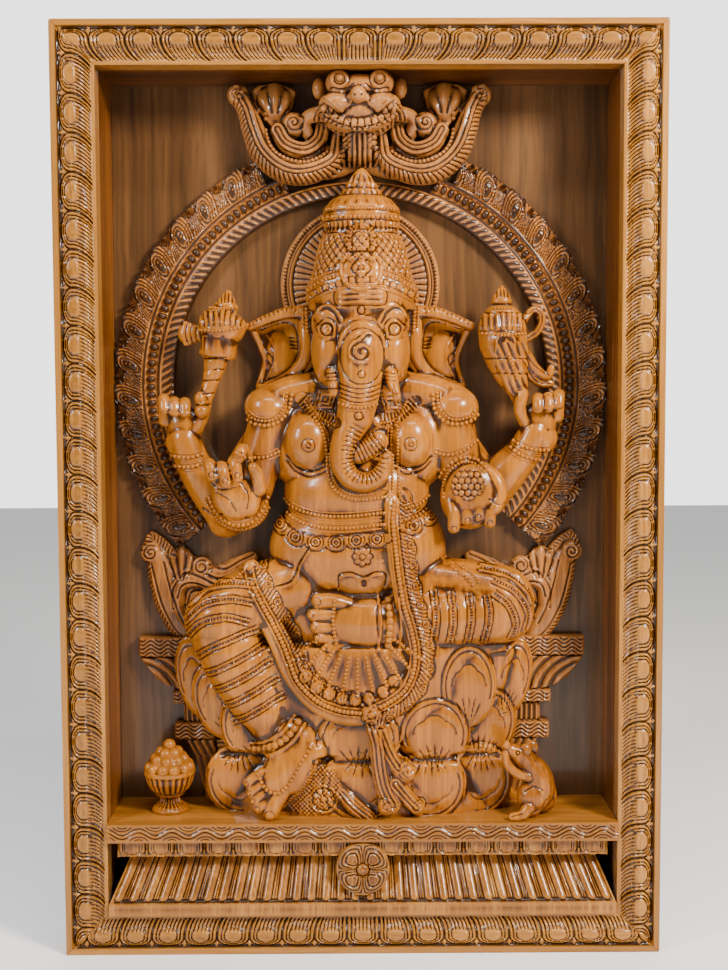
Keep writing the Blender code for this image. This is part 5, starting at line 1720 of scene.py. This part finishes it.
def dress_figure(beads):
    """Every row of beads and every cord on the figure."""
    for side in (-1, 1):
        beads.beads([(side * 75, 876), (side * 73, 852), (side * 72, 826)], 2.6)
        beads.beads([(side * 79, 872), (side * 78, 852), (side * 77, 832)], 2.0)
    beads.cord([(-77, 862), (-42, 877), (0, 884), (42, 877), (77, 863)], 1.5)
    for side in (-1, 1):
        beads.beads([(1 + side * 72, 881), (1 + side * 48, 893), (1 + side * 28, 899)], 2.7)
        beads.cord([(1 + side * 71, 885), (1 + side * 47, 897), (1 + side * 27, 903)], 1.1)
        beads.beads([(1 + side * 69, 890), (1 + side * 46, 901), (1 + side * 26, 907)], 2.0)
    beads.beads([(-51, 978), (-20, 976), (24, 976), (55, 978)], 3.1)
    beads.beads([(-46, 988), (-20, 987), (24, 987), (50, 988)], 2.1)
    beads.cord(
        [
            (-9, 922), (-14, 919), (-18, 923), (-24, 916), (-25, 903), (-20, 890), (-10, 882), (1, 880),
            (12, 882), (22, 890), (27, 903), (26, 916), (20, 923), (16, 919), (11, 922),
        ],
        3.2,
    )
    beads.band([(-30, 733), (-18, 728), (-6, 726), (8, 727), (22, 731)], 4.6, 2.6)
    # Necklaces
    for points, bead in (
        (
            [
                (-76, 736), (-62, 712), (-50, 690), (-46, 662), (-43, 634), (-32, 614), (-8, 604),
                (22, 606), (40, 608),
            ],
            2.6,
        ),
        (
            [(-71, 737), (-57, 712), (-45, 690), (-41, 662), (-38, 637), (-29, 620), (-8, 610), (22, 612)],
            1.8,
        ),
        ([(-68, 728), (-52, 711), (-32, 702)], 2.3), ([(24, 704), (46, 709), (66, 724)], 2.3),
        ([(41, 700), (41, 660), (42, 612)], 2.3), ([(49, 702), (49, 660), (50, 612)], 2.3),
        ([(62, 735), (52, 712), (45, 700)], 2.3),
    ):
        beads.beads(points, bead)
    beads.cord([(36, 702), (36, 660), (37, 612)], 1.0)
    beads.cord([(54, 700), (54, 660), (54, 612)], 1.0)
    # Belt in two rows, each bead row between cords
    for lift in (0, -15):
        beads.band(
            [(-112, 612 + lift), (-94, 594 + lift), (-64, 583 + lift), (-20, 581 + lift), (34, 586 + lift)],
            4.8, 2.7,
        )
        beads.band([(56, 590 + lift), (78, 596 + lift), (97, 611 + lift)], 4.8, 2.7)
    # Garland beads
    beads.beads(
        [
            (44, 604), (42, 575), (45, 540), (50, 500), (56, 465), (66, 430), (71, 400), (68, 372),
            (55, 347), (32, 331), (22, 326),
        ],
        3.3, 5.4,
    )
    beads.beads(
        [
            (0, 319), (-30, 323), (-60, 336), (-85, 361), (-98, 392), (-106, 412), (-120, 440), (-135, 470),
            (-147, 494),
        ],
        3.3, 5.4,
    )
    # Shoulders and arms
    for row in (
        [(-158, 716), (-146, 706), (-130, 702), (-112, 706), (-98, 722), (-92, 746)],
        [(96, 746), (100, 722), (114, 706), (132, 703), (150, 709), (158, 718)],
    ):
        path = smooth_path(row, 1.0)
        beads.beads(None, 3.2, path=path)
        beads.beads(None, 2.4, path=beside(path, 6.2))
        beads.cord(None, 1.2, path=beside(path, 10.2))
    for row in (
        [(-166, 668), (-148, 660), (-128, 660), (-108, 668)],
        [(98, 666), (116, 662), (138, 668), (158, 682)],
    ):
        beads.band(row, 4.6, 2.8)
    for row in (
        [(-206, 608), (-196, 588), (-180, 574), (-164, 569), (-146, 574), (-133, 590), (-126, 608)],
        [(104, 604), (106, 626), (114, 644), (132, 658), (152, 656), (168, 644)],
    ):
        path = smooth_path(row, 1.0)
        beads.beads(None, 3.2, path=path)
        beads.beads(None, 2.4, path=beside(path, -6.0))
    for lift in (0, -13):
        beads.band([(-270, 668 + lift), (-250, 661 + lift), (-228, 660 + lift), (-206, 666 + lift)], 5.0, 3.0)
        beads.band([(196, 690 + lift), (212, 676 + lift), (234, 668 + lift), (256, 668 + lift)], 5.0, 3.0)
    # Emblems
    beads.beads([(-219, 831), (-189, 828), (-160, 833)], 2.6)
    beads.beads([(-207, 860), (-181, 858), (-162, 862)], 2.0)
    beads.beads([(161, 824), (191, 821), (222, 824)], 2.4)
    beads.beads([(196, 798), (203, 780), (210, 762)], 2.6)
    beads.beads([(178, 857), (190, 856), (203, 858)], 2.0)
    for k in range(-5, 6):
        turn = 0.19 * k
        beads.beads([(-6 + r * math.sin(turn), 452 - r * math.cos(turn)) for r in (58, 80, 108)], 3.1, 5.8)
    # Legs and feet
    beads.beads([(-150, 262), (-128, 268), (-102, 284), (-84, 306)], 5.4, 8.2)
    beads.beads([(36, 472), (38, 438), (35, 404)], 5.4, 8.2)
    beads.beads([(-68, 274), (-84, 250), (-98, 226), (-113, 213), (-130, 219), (-141, 240)], 3.0)
    beads.beads([(-36, 472), (-38, 440), (-34, 408)], 2.8)
    beads.beads([(-158, 506), (-172, 496), (-190, 490)], 2.4)
    beads.beads([(124, 508), (140, 498), (150, 486)], 2.8)
    beads.beads([(132, 512), (148, 502), (158, 490)], 2.2)


def figure():
    skin = figure_skin()
    for carving in (
        carve_lotus, carve_torso, carve_arms, carve_emblems, carve_legs, carve_cloth, carve_ears,
        carve_face, carve_crown,
    ):
        carving(skin)
    skin.cut(FIGURE_TRIANGLES)
    carved = Skin(skin.piece)
    beads = Trimmings(carved)
    dress_figure(beads)
    finish(beads.make("ganesha_beads_and_cords"), "ganesha_on_lotus", FIGURE_TEAK, reach=6)
    finish(carved.piece, "ganesha_on_lotus", FIGURE_TEAK, reach=12, strength=0.7)


# Crest: a laughing guardian mask between two pairs of scrolls

def crest_scroll():
    forms = limb(
        [
            (-28, 20, 1090, 9), (-33, 24, 1062, 13), (-54, 26, 1047, 14), (-84, 26, 1041, 15),
            (-110, 26, 1049, 16), (-132, 26, 1070, 16), (-144, 26, 1098, 15), (-152, 26, 1124, 13),
            (-160, 26, 1140, 12),
        ],
        flat=1.6,
    )
    forms += ball(-164, 30, 1145, 14, 22, 14)
    forms += limb(
        [
            (-50, 22, 1110, 9), (-55, 26, 1086, 10), (-74, 28, 1073, 11), (-98, 28, 1080, 12),
            (-110, 28, 1098, 11),
        ],
        flat=1.7,
    )
    forms += ball(-88, 28, 1106, 17, 24, 17)
    forms += slab(
        [
            (-116, 1100), (-138, 1128), (-146, 1152), (-136, 1160), (-118, 1162), (-100, 1160), (-86, 1150),
            (-92, 1130), (-106, 1112),
        ],
        2, 26,
    )
    forms += ball(-115, 22, 1138, 24, 14, 26) + ball(-60, 18, 1058, 60, 14, 24)
    return forms


def mask_forms():
    forms = ball(0, 42, 1122, 54, 44, 36) + ball(0, 66, 1148, 40, 26, 16)
    for side in (-1, 1):
        forms += ball(side * 27, 76, 1150, 18, 20, 17) + ball(side * 30, 76, 1124, 24, 20, 14)
        forms += ball(side * 26, 86, 1152, 11, 12, 11) + ball(side * 54, 56, 1148, 9, 11, 14)
        forms += limb(
            [
                (side * 40, 60, 1112, 9), (side * 58, 48, 1116, 10), (side * 72, 40, 1110, 9),
                (side * 70, 30, 1094, 8),
            ],
            flat=1.3,
        )
    forms += ball(-2, 92, 1132, 11, 14, 11) + ball(-10, 88, 1129, 7, 9, 6) + ball(6, 88, 1129, 7, 9, 6)
    forms += limb([
        (-52, 64, 1118, 7), (-30, 76, 1102, 8), (0, 80, 1096, 8), (28, 78, 1103, 8), (50, 66, 1120, 7),
    ])
    forms += limb([(0, 30, 1092, 24), (0, 26, 1078, 22), (0, 24, 1072, 20)], flat=1.4)
    return forms


def crest():
    scroll = crest_scroll()
    piece = fuse("carved_crest", scroll + other_side(scroll) + mask_forms(), 1.4, 4)
    trim(piece, at(0, 0, 0), (0, 1, 0))
    trim(piece, at(0, 0, NICHE_TOP - 2), (0, 0, 1))
    skin = Skin(piece)
    for side in (-1, 1):
        spine = [
            (side * x, z) for x, z in (
                (28, 1092), (33, 1062), (54, 1047), (84, 1041), (110, 1049), (132, 1070), (144, 1098),
                (152, 1124), (160, 1140),
            )
        ]
        skin.band(
            spine, -17, 17,
            lambda left, along, side=side: 1.9 * np.cos(left * 2 * np.pi / 7.5) * (left * side > -4),
        )
        skin.band(spine, -17, 17, nicks(2.4, 6.2, 1.1, *((-17, -4) if side > 0 else (4, 17)), slant=0.6))
        inner = [(side * x, z) for x, z in ((50, 1110), (55, 1086), (74, 1073), (98, 1080), (110, 1098))]
        skin.band(inner, -12, 12, lambda left, along: 1.6 * np.cos(left * 2 * np.pi / 6.5))
        for x, z, radius in ((164, 1145, 13), (88, 1106, 16)):
            skin.line(spiral(side * x, z, radius * 0.9, 1.9, 90, side), 1.5, -2.8)
        def fan(x, z, side=side):
            away, turn = np.hypot(x - side * 114, z - 1106), np.arctan2(x - side * 114, z - 1106)
            return (
                1.8 * np.cos(turn * 13)
            ) * step(away, 12, 20) * step(58 - away, 0, 4) * (np.abs(turn) < 0.75)
        skin.area(tuple(sorted((side * 84, side * 146))) + (1116, 1164), fan)
        x = side * 26
        ring(skin, x, 1152, 10.5, 1.1, 1.6)
        ring(skin, x, 1152, 7.4, 0.9, -2.0)
        knob(skin, x, 1152, 4.4, 4.4, 2.2, 1.4)
        skin.line([(side * 8, 1146), (side * 20, 1139), (side * 38, 1141)], 1.3, -2.2)
        skin.line([(side * 12, 1118), (side * 30, 1107), (side * 50, 1122)], 1.4, -2.6)
        skin.line([(side * 10, 1125), (side * 22, 1112), (side * 46, 1130)], 1.3, 1.6)
        knob(skin, side * 5 - 2, 1129, 2.0, 2.0, -2.4)
    teeth = [(-48, 1115), (-24, 1101), (0, 1097), (24, 1102), (46, 1118)]
    skin.band(teeth, -5, 5, lambda left, along: 2.2 - 3.6 * bump(along % 9 - 4.5, 1.0))
    skin.line([(x, z - 6) for x, z in teeth], 1.5, -2.6)
    skin.line([(x, z + 6) for x, z in teeth], 1.4, -2.4)
    skin.area((-26, 26, 1050, 1090), lambda x, z: 2.0 * np.cos(x * 2 * np.pi / 7))
    skin.cut(CREST_TRIANGLES)
    carved = Skin(skin.piece)
    beads = Trimmings(carved)
    for side in (-1, 1):
        row = [
            (side * x, z) for x, z in (
                (126, 1124), (127, 1096), (117, 1071), (95, 1058), (70, 1056), (46, 1068), (40, 1084),
            )
        ]
        beads.beads(row, 3.0)
    finish(beads.make("crest_beads"), "crest_mask", DARK_TEAK, reach=6)
    finish(carved.piece, "crest_mask", DARK_TEAK, reach=12)


# Throne: stacked blocks at the sides, with leaf scrolls at its shoulders

def throne_pier(name, side):
    x0, x1, z0, z1, back, front = design_box(name)
    outline = [
        (z0, 218), (206, 226), (238, 233), (258, 244), (262, 246), (262.5, 262), (285, 262), (285.5, 250),
        (313, 250), (313.5, 264), (331, 264), (331.5, 250), (337, 268), (348, 288), (360, 296), (372, 306),
        (379, 309), (380, 311), (z1, 311),
    ]
    widest = max(abs(x0), abs(x1))
    inner = min(abs(x0), abs(x1))

    def reach(z):
        return np.minimum(np.interp(z, *zip(*outline)), widest - 0.3)

    def shape(u, v):
        z = z0 + 0.2 + v * (z1 - z0 - 0.4)
        far = reach(z)
        out = inner + 0.3 + u * (far - inner - 0.3)
        relief = np.full_like(out, front - 4.0)
        from_edge = far - out
        bell, block, cushion = z < 261, (z > 286) & (z < 312.5), (z > 332) & (z < 379)
        slabs = ((z > 262) & (z < 285.5)) | ((z > 313) & (z < 331.5)) | (z > 379.5)
        relief = np.where(bell, front - 5 + 1.9 * np.cos(from_edge * 2 * np.pi / 11), relief)
        relief = np.where(block, front - 8 + 1.7 * np.cos(out * 2 * np.pi / 7.2), relief)
        leaf = np.cos(np.hypot((out - 322) * 0.8, z - 322) * 2 * np.pi / 11) * 2.0
        relief = np.where(cushion, front - 5 + leaf + 2 * dome(np.abs(z - 356) / 26), relief)
        wave = 1.5 * np.cos((z - 3.2 * np.sin(out * 2 * np.pi / 24)) * 2 * np.pi / 5.5)
        relief = np.where(slabs, front - 1.8 + 0.8 * wave, relief)
        post = (out < 205) & (z < 378)
        hatched = front - 9 - 1.2 * bump(z % 7 - 3.5, 1.0)
        relief = np.where(post, hatched, relief)
        relief -= 2.6 * bump(out - 206, 1.2) * (z < 378)
        for line in (262, 286, 313, 331.5, 379):
            relief -= 2.4 * bump(z - line, 1.2)
        relief -= 3.0 * bump(from_edge, 1.6)
        return places(side * out, np.minimum(relief, front), z)

    piece = grid_piece("carved_" + name, (x1 - x0) / 1.1, (z1 - z0) / 1.2, shape, back)
    finish(piece, name, DARK_TEAK, angle=60, reach=10, share=GRID_SHARE)


def throne_scroll(name, side):
    front = design_box(name)[-1]
    forms = limb(
        [
            (-240, 7, 400, 12), (-258, 8, 428, 18), (-271, 8, 460, 20), (-279, 8, 492, 19),
            (-286, 8, 518, 15),
        ],
        flat=0.6,
    )
    forms += ball(-293, 11, 525, 15, 9, 15) + slab(
        [
            (-306, 532), (-300, 548), (-292, 555), (-276, 546), (-262, 532), (-256, 512), (-270, 505),
            (-290, 515),
        ],
        1, 11,
    )
    forms += ball(-250, 8, 506, 17, 9, 27) + ball(-222, 12, 505, 14, 9, 14)
    forms += limb([(-222, 10, 496, 10), (-202, 9, 494, 11), (-176, 9, 506, 11), (-152, 8, 516, 9)], flat=0.8)
    forms += limb(
        [
            (-258, 9, 452, 11), (-254, 10, 478, 12), (-232, 10, 488, 12), (-200, 9, 480, 11),
            (-168, 8, 484, 9),
        ],
        flat=0.8,
    )
    forms += slab(
        [(-256, 420), (-262, 500), (-236, 520), (-196, 500), (-152, 520), (-152, 408), (-238, 406)], 0, 8,
    )
    if side > 0:
        forms = other_side_only(forms)
    piece = fuse("carved_" + name, forms, 1.3, 3)
    trim(piece, at(0, 0.5, 0), (0, 1, 0))
    trim(piece, at(0, front - 1.2, 0), (0, -1, 0))
    skin = Skin(piece)
    def flip(points):
        return [(-x if side > 0 else x, z) for x, z in points]
    edge = flip([(-300, 508), (-297, 480), (-288, 448), (-272, 418), (-256, 398)])
    skin.band(edge, -7, 7, nicks(2.0, 6.4, 1.2, slant=0.8))
    for spine in (
        [(-292, 508), (-285, 478), (-276, 448), (-262, 420), (-244, 400)],
        [(-274, 512), (-267, 480), (-258, 450), (-246, 424)],
    ):
        skin.line(flip(spine), 1.5, -2.2)
    skin.band(
        flip([(-304, 534), (-292, 550), (-276, 542), (-262, 526)]), -8, 5, nicks(1.8, 5.5, 1.1, slant=0.5),
    )
    def ribs(x, z):
        away, turn = np.hypot(x + side * -250, z - 470), np.arctan2(x + side * -250, z - 470)
        return 1.4 * np.cos(turn * 22) * step(away, 14, 22) * (np.abs(turn) < 0.42)
    skin.area(tuple(sorted((side * 234, side * 268))) + (486, 536), ribs)
    for spine in (
        [(-210, 508), (-190, 502), (-168, 514), (-150, 522)],
        [(-214, 494), (-196, 488), (-172, 498), (-150, 508)],
        [(-256, 462), (-250, 478), (-232, 482), (-200, 472), (-160, 478)],
        [(-244, 450), (-238, 468), (-220, 470), (-190, 460)],
        [(-240, 430), (-226, 450), (-200, 448), (-176, 440)],
        [(-262, 446), (-262, 476), (-244, 496), (-222, 490), (-198, 480), (-160, 492)],
    ):
        skin.line(flip(spine), 1.5, -2.2)
        skin.line(flip([(x, z + 4) for x, z in spine]), 1.8, 1.2)
    for x, z, radius in ((-293, 525, 12), (-222, 505, 11)):
        x = x if side < 0 else -x
        skin.line(spiral(x, z, radius, 1.7, 60, -side), 1.5, -2.6)
    skin.cut(SCROLL_TRIANGLES)
    finish(skin.piece, name, DARK_TEAK, reach=10)


def other_side_only(forms):
    twins = other_side(forms)
    for form in forms:
        bpy.data.objects.remove(form)
    return twins


def throne():
    throne_pier("throne_pier_left", -1)
    throne_pier("throne_pier_right", 1)
    throne_scroll("throne_scroll_left", -1)
    throne_scroll("throne_scroll_right", 1)


# Bowl of sweets and mouse, standing on the shelf

def turned(name, middle, profile, ribs, rib_depth, columns=96):
    """A turned form from (radius, z, ribbed) stations, with fluting where ribbed is 1."""
    levels = []
    for (r0, z0, f0), (r1, z1, f1) in zip(profile, profile[1:]):
        count = max(1, int(math.hypot(r1 - r0, z1 - z0) / 1.2))
        for k in range(count):
            t = k / count
            levels.append((r0 + (r1 - r0) * t, z0 + (z1 - z0) * t, f0 + (f1 - f0) * t))
    levels.append(profile[-1])
    solid = bmesh.new()
    rings = []
    for radius, z, fluted in levels:
        made = []
        for k in range(columns):
            turn = 2 * math.pi * k / columns
            reach = radius - fluted * rib_depth * (0.5 + 0.5 * math.cos(turn * ribs))
            made.append(
                solid.verts.new(
                    at(middle[0] + reach * math.cos(turn), middle[1] + reach * math.sin(turn), z)
                )
            )
        rings.append(made)
    for a, b in zip(rings, rings[1:]):
        for k in range(columns):
            solid.faces.new((a[k], a[(k + 1) % columns], b[(k + 1) % columns], b[k]))
    solid.faces.new(rings[0])
    solid.faces.new(rings[-1])
    bmesh.ops.recalc_face_normals(solid, faces=solid.faces)
    mesh = bpy.data.meshes.new(name)
    solid.to_mesh(mesh)
    solid.free()
    made = bpy.data.objects.new(name, mesh)
    bpy.context.scene.collection.objects.link(made)
    return made


def bowl_of_sweets():
    left, right, foot, _, back, front = design_box("sweet_bowl")
    x, relief = (left + right) / 2, (back + front) / 2
    radius = min(right - left, front - back) / 2
    bowl = turned(
        "fluted_bowl", (x, relief),
        [
            (0.5, foot, 0), (24, foot, 0), (25, foot + 4, 0), (22, foot + 8, 0.4), (14, foot + 13, 1),
            (13, foot + 19, 1), (20, foot + 24, 0), (21, foot + 27, 0), (27, foot + 32, 1),
            (32, foot + 42, 1), (radius - 2, foot + 50, 1), (radius - 1, foot + 53, 0),
            (radius - 1, foot + 57, 0), (radius - 4, foot + 58, 0), (0.5, foot + 58, 0),
        ],
        22, 2.6,
    )
    finish(bowl, "sweet_bowl", FIGURE_TEAK, angle=60, reach=8)
    bpy.ops.mesh.primitive_uv_sphere_add(segments=24, ring_count=14, radius=8.6 * MM)
    pattern = bpy.context.object
    heap = []
    for count, reach, z in (
        (11, radius - 10, foot + 61), (8, radius - 17, foot + 71), (5, radius - 25, foot + 80),
        (1, 0, foot + 90.5),
    ):
        for k in range(count):
            turn = 2 * math.pi * (k + 0.5 * (z % 2)) / count
            sweet = pattern.copy()
            sweet.data = pattern.data.copy()
            bpy.context.scene.collection.objects.link(sweet)
            sweet.location = at(x + reach * math.cos(turn), relief + reach * math.sin(turn), z)
            heap.append(sweet)
    bpy.data.objects.remove(pattern)
    core = ball(x, relief, foot + 58, radius - 8, radius - 8, 28)
    for sweet in heap + core:
        sweet.select_set(True)
    bpy.context.view_layer.objects.active = heap[0]
    bpy.ops.object.join()
    bpy.ops.object.transform_apply(location=True, rotation=True, scale=True)
    pile = bpy.context.object
    pile.name = pile.data.name = "pile_of_sweets"
    finish(pile, "sweet_bowl", FIGURE_TEAK, angle=60, reach=5)


def mouse():
    forms = limb([(226, 92, 190, 17), (238, 90, 212, 22), (234, 92, 234, 19), (222, 94, 250, 15)])
    forms += limb([(222, 94, 250, 15), (210, 98, 262, 13), (196, 102, 270, 8), (190, 104, 274, 5)])
    forms += ball(228, 98, 204, 21, 16, 21) + ball(236, 84, 194, 24, 18, 16)
    forms += limb([(222, 104, 232, 7), (206, 108, 238, 6), (194, 108, 250, 6), (190, 108, 264, 5)])
    forms += limb([(228, 88, 236, 6), (210, 90, 244, 6), (198, 96, 256, 5)])
    forms += limb([(222, 108, 192, 9), (212, 112, 182, 7), (200, 112, 180, 6)])
    forms += limb([
        (236, 80, 186, 7), (250, 80, 182, 6), (258, 84, 196, 5), (256, 86, 216, 4), (250, 84, 232, 3),
    ])
    forms += ball(228, 90, 268, 9, 5, 10) + ball(218, 104, 268, 8, 5, 9) + ball(192, 106, 276, 6, 6, 6)
    piece = fuse("carved_mouse", forms, 1.1, 3)
    trim(piece, at(0, 0, SHELF_TOP), (0, 0, -1))
    skin = Skin(piece)
    knob(skin, 207, 266, 2.2, 2.2, 1.4, 1.6)
    for points in (
        [(240, 216), (228, 220), (216, 214)], [(212, 186), (204, 184), (198, 182)],
        [(246, 202), (240, 190), (228, 184)],
    ):
        skin.line(points, 1.1, -1.4)
    skin.cut(MOUSE_TRIANGLES)
    finish(skin.piece, "mouse", FIGURE_TEAK, reach=10)


# All the carving, heaviest first

figure()
crest()
throne()
bowl_of_sweets()
mouse()
frame_mouldings()
arch()
halo()
shelf()
petal_band()
cornice()
rosette()


# Stage, light and camera

DIM_ROOM, BRIGHT_BACKDROP = 0.13, 2.8
# Each lamp's name, place, width and height in metres, watts and colour
LAMPS = (
    ("softbox_right", (1.45, -1.6, 1.25), (0.5, 0.5), 114, "#fff4e6"),
    ("softbox_left", (-1.7, -1.5, 0.9), (0.3, 0.9), 44, "#f6f7ff"),
    ("strip_above", (0.1, -1.2, 1.9), (1.6, 0.14), 24, "#fffaf2"),
)
LAMPS_AIM = (0, 0, 0.05)
SENSOR_WIDTH, LENS_LENGTH = 36.0, 48.04
CAMERA_PLACE = (-0.0046, -1.8243, 0.1278)
CAMERA_TILT, CAMERA_ROLL, CAMERA_PAN = 0.06676, -0.00425, 0.00484


def stage():
    bpy.ops.mesh.primitive_plane_add(size=14, location=(0, 0, PANEL_FOOT - 0.0005))
    floor = bpy.context.object
    floor.name = "floor"
    pale = bpy.data.materials.new("pale_floor")
    pale.use_nodes = True
    matt = pale.node_tree.nodes["Principled BSDF"]
    matt.inputs["Base Color"].default_value = linear("#ffffff")
    matt.inputs["Roughness"].default_value = 0.9
    floor.data.materials.append(pale)
    # A dim room in front of the panel and a bright backdrop behind it
    sky = bpy.data.worlds.new("studio")
    sky.use_nodes = True
    tree = sky.node_tree
    towards = add_node(tree, "ShaderNodeTexCoord").outputs["Generated"]
    apart = add_node(tree, "ShaderNodeSeparateXYZ", None, {"Vector": towards})
    depth = map_range(tree, apart.outputs["Y"], (0.35, 0.8), (DIM_ROOM, BRIGHT_BACKDROP))
    tree.nodes["Background"].inputs["Color"].default_value = linear("#fbfbfa")
    tree.links.new(depth, tree.nodes["Background"].inputs["Strength"])
    bpy.context.scene.world = sky
    for name, place, size, power, colour in LAMPS:
        lamp = bpy.data.lights.new(name, "AREA")
        lamp.shape = "RECTANGLE"
        lamp.size, lamp.size_y = size
        lamp.energy = power
        lamp.color = linear(colour)[:3]
        stand = bpy.data.objects.new(name, lamp)
        bpy.context.scene.collection.objects.link(stand)
        stand.location = place
        aim = Vector(LAMPS_AIM) - Vector(place)
        stand.rotation_euler = aim.to_track_quat("-Z", "Y").to_euler()


def camera():
    """The photograph's view: in front of the middle, a little above it, tipped slightly down."""
    lens = bpy.data.cameras.new("camera")
    lens.sensor_width, lens.lens = SENSOR_WIDTH, LENS_LENGTH
    shot = bpy.data.objects.new("camera", lens)
    bpy.context.scene.collection.objects.link(shot)
    pan, roll = Matrix.Rotation(CAMERA_PAN, 3, "Z"), Matrix.Rotation(CAMERA_ROLL, 3, "Y")
    turn = (pan @ roll @ Matrix.Rotation(CAMERA_TILT, 3, "X")).transposed()
    right, ahead, up = turn.col[0], turn.col[1], turn.col[2]
    facing = Matrix((right, up, -ahead)).transposed().to_4x4()
    shot.matrix_world = Matrix.Translation(CAMERA_PLACE) @ facing
    bpy.context.scene.camera = shot


stage()
camera()
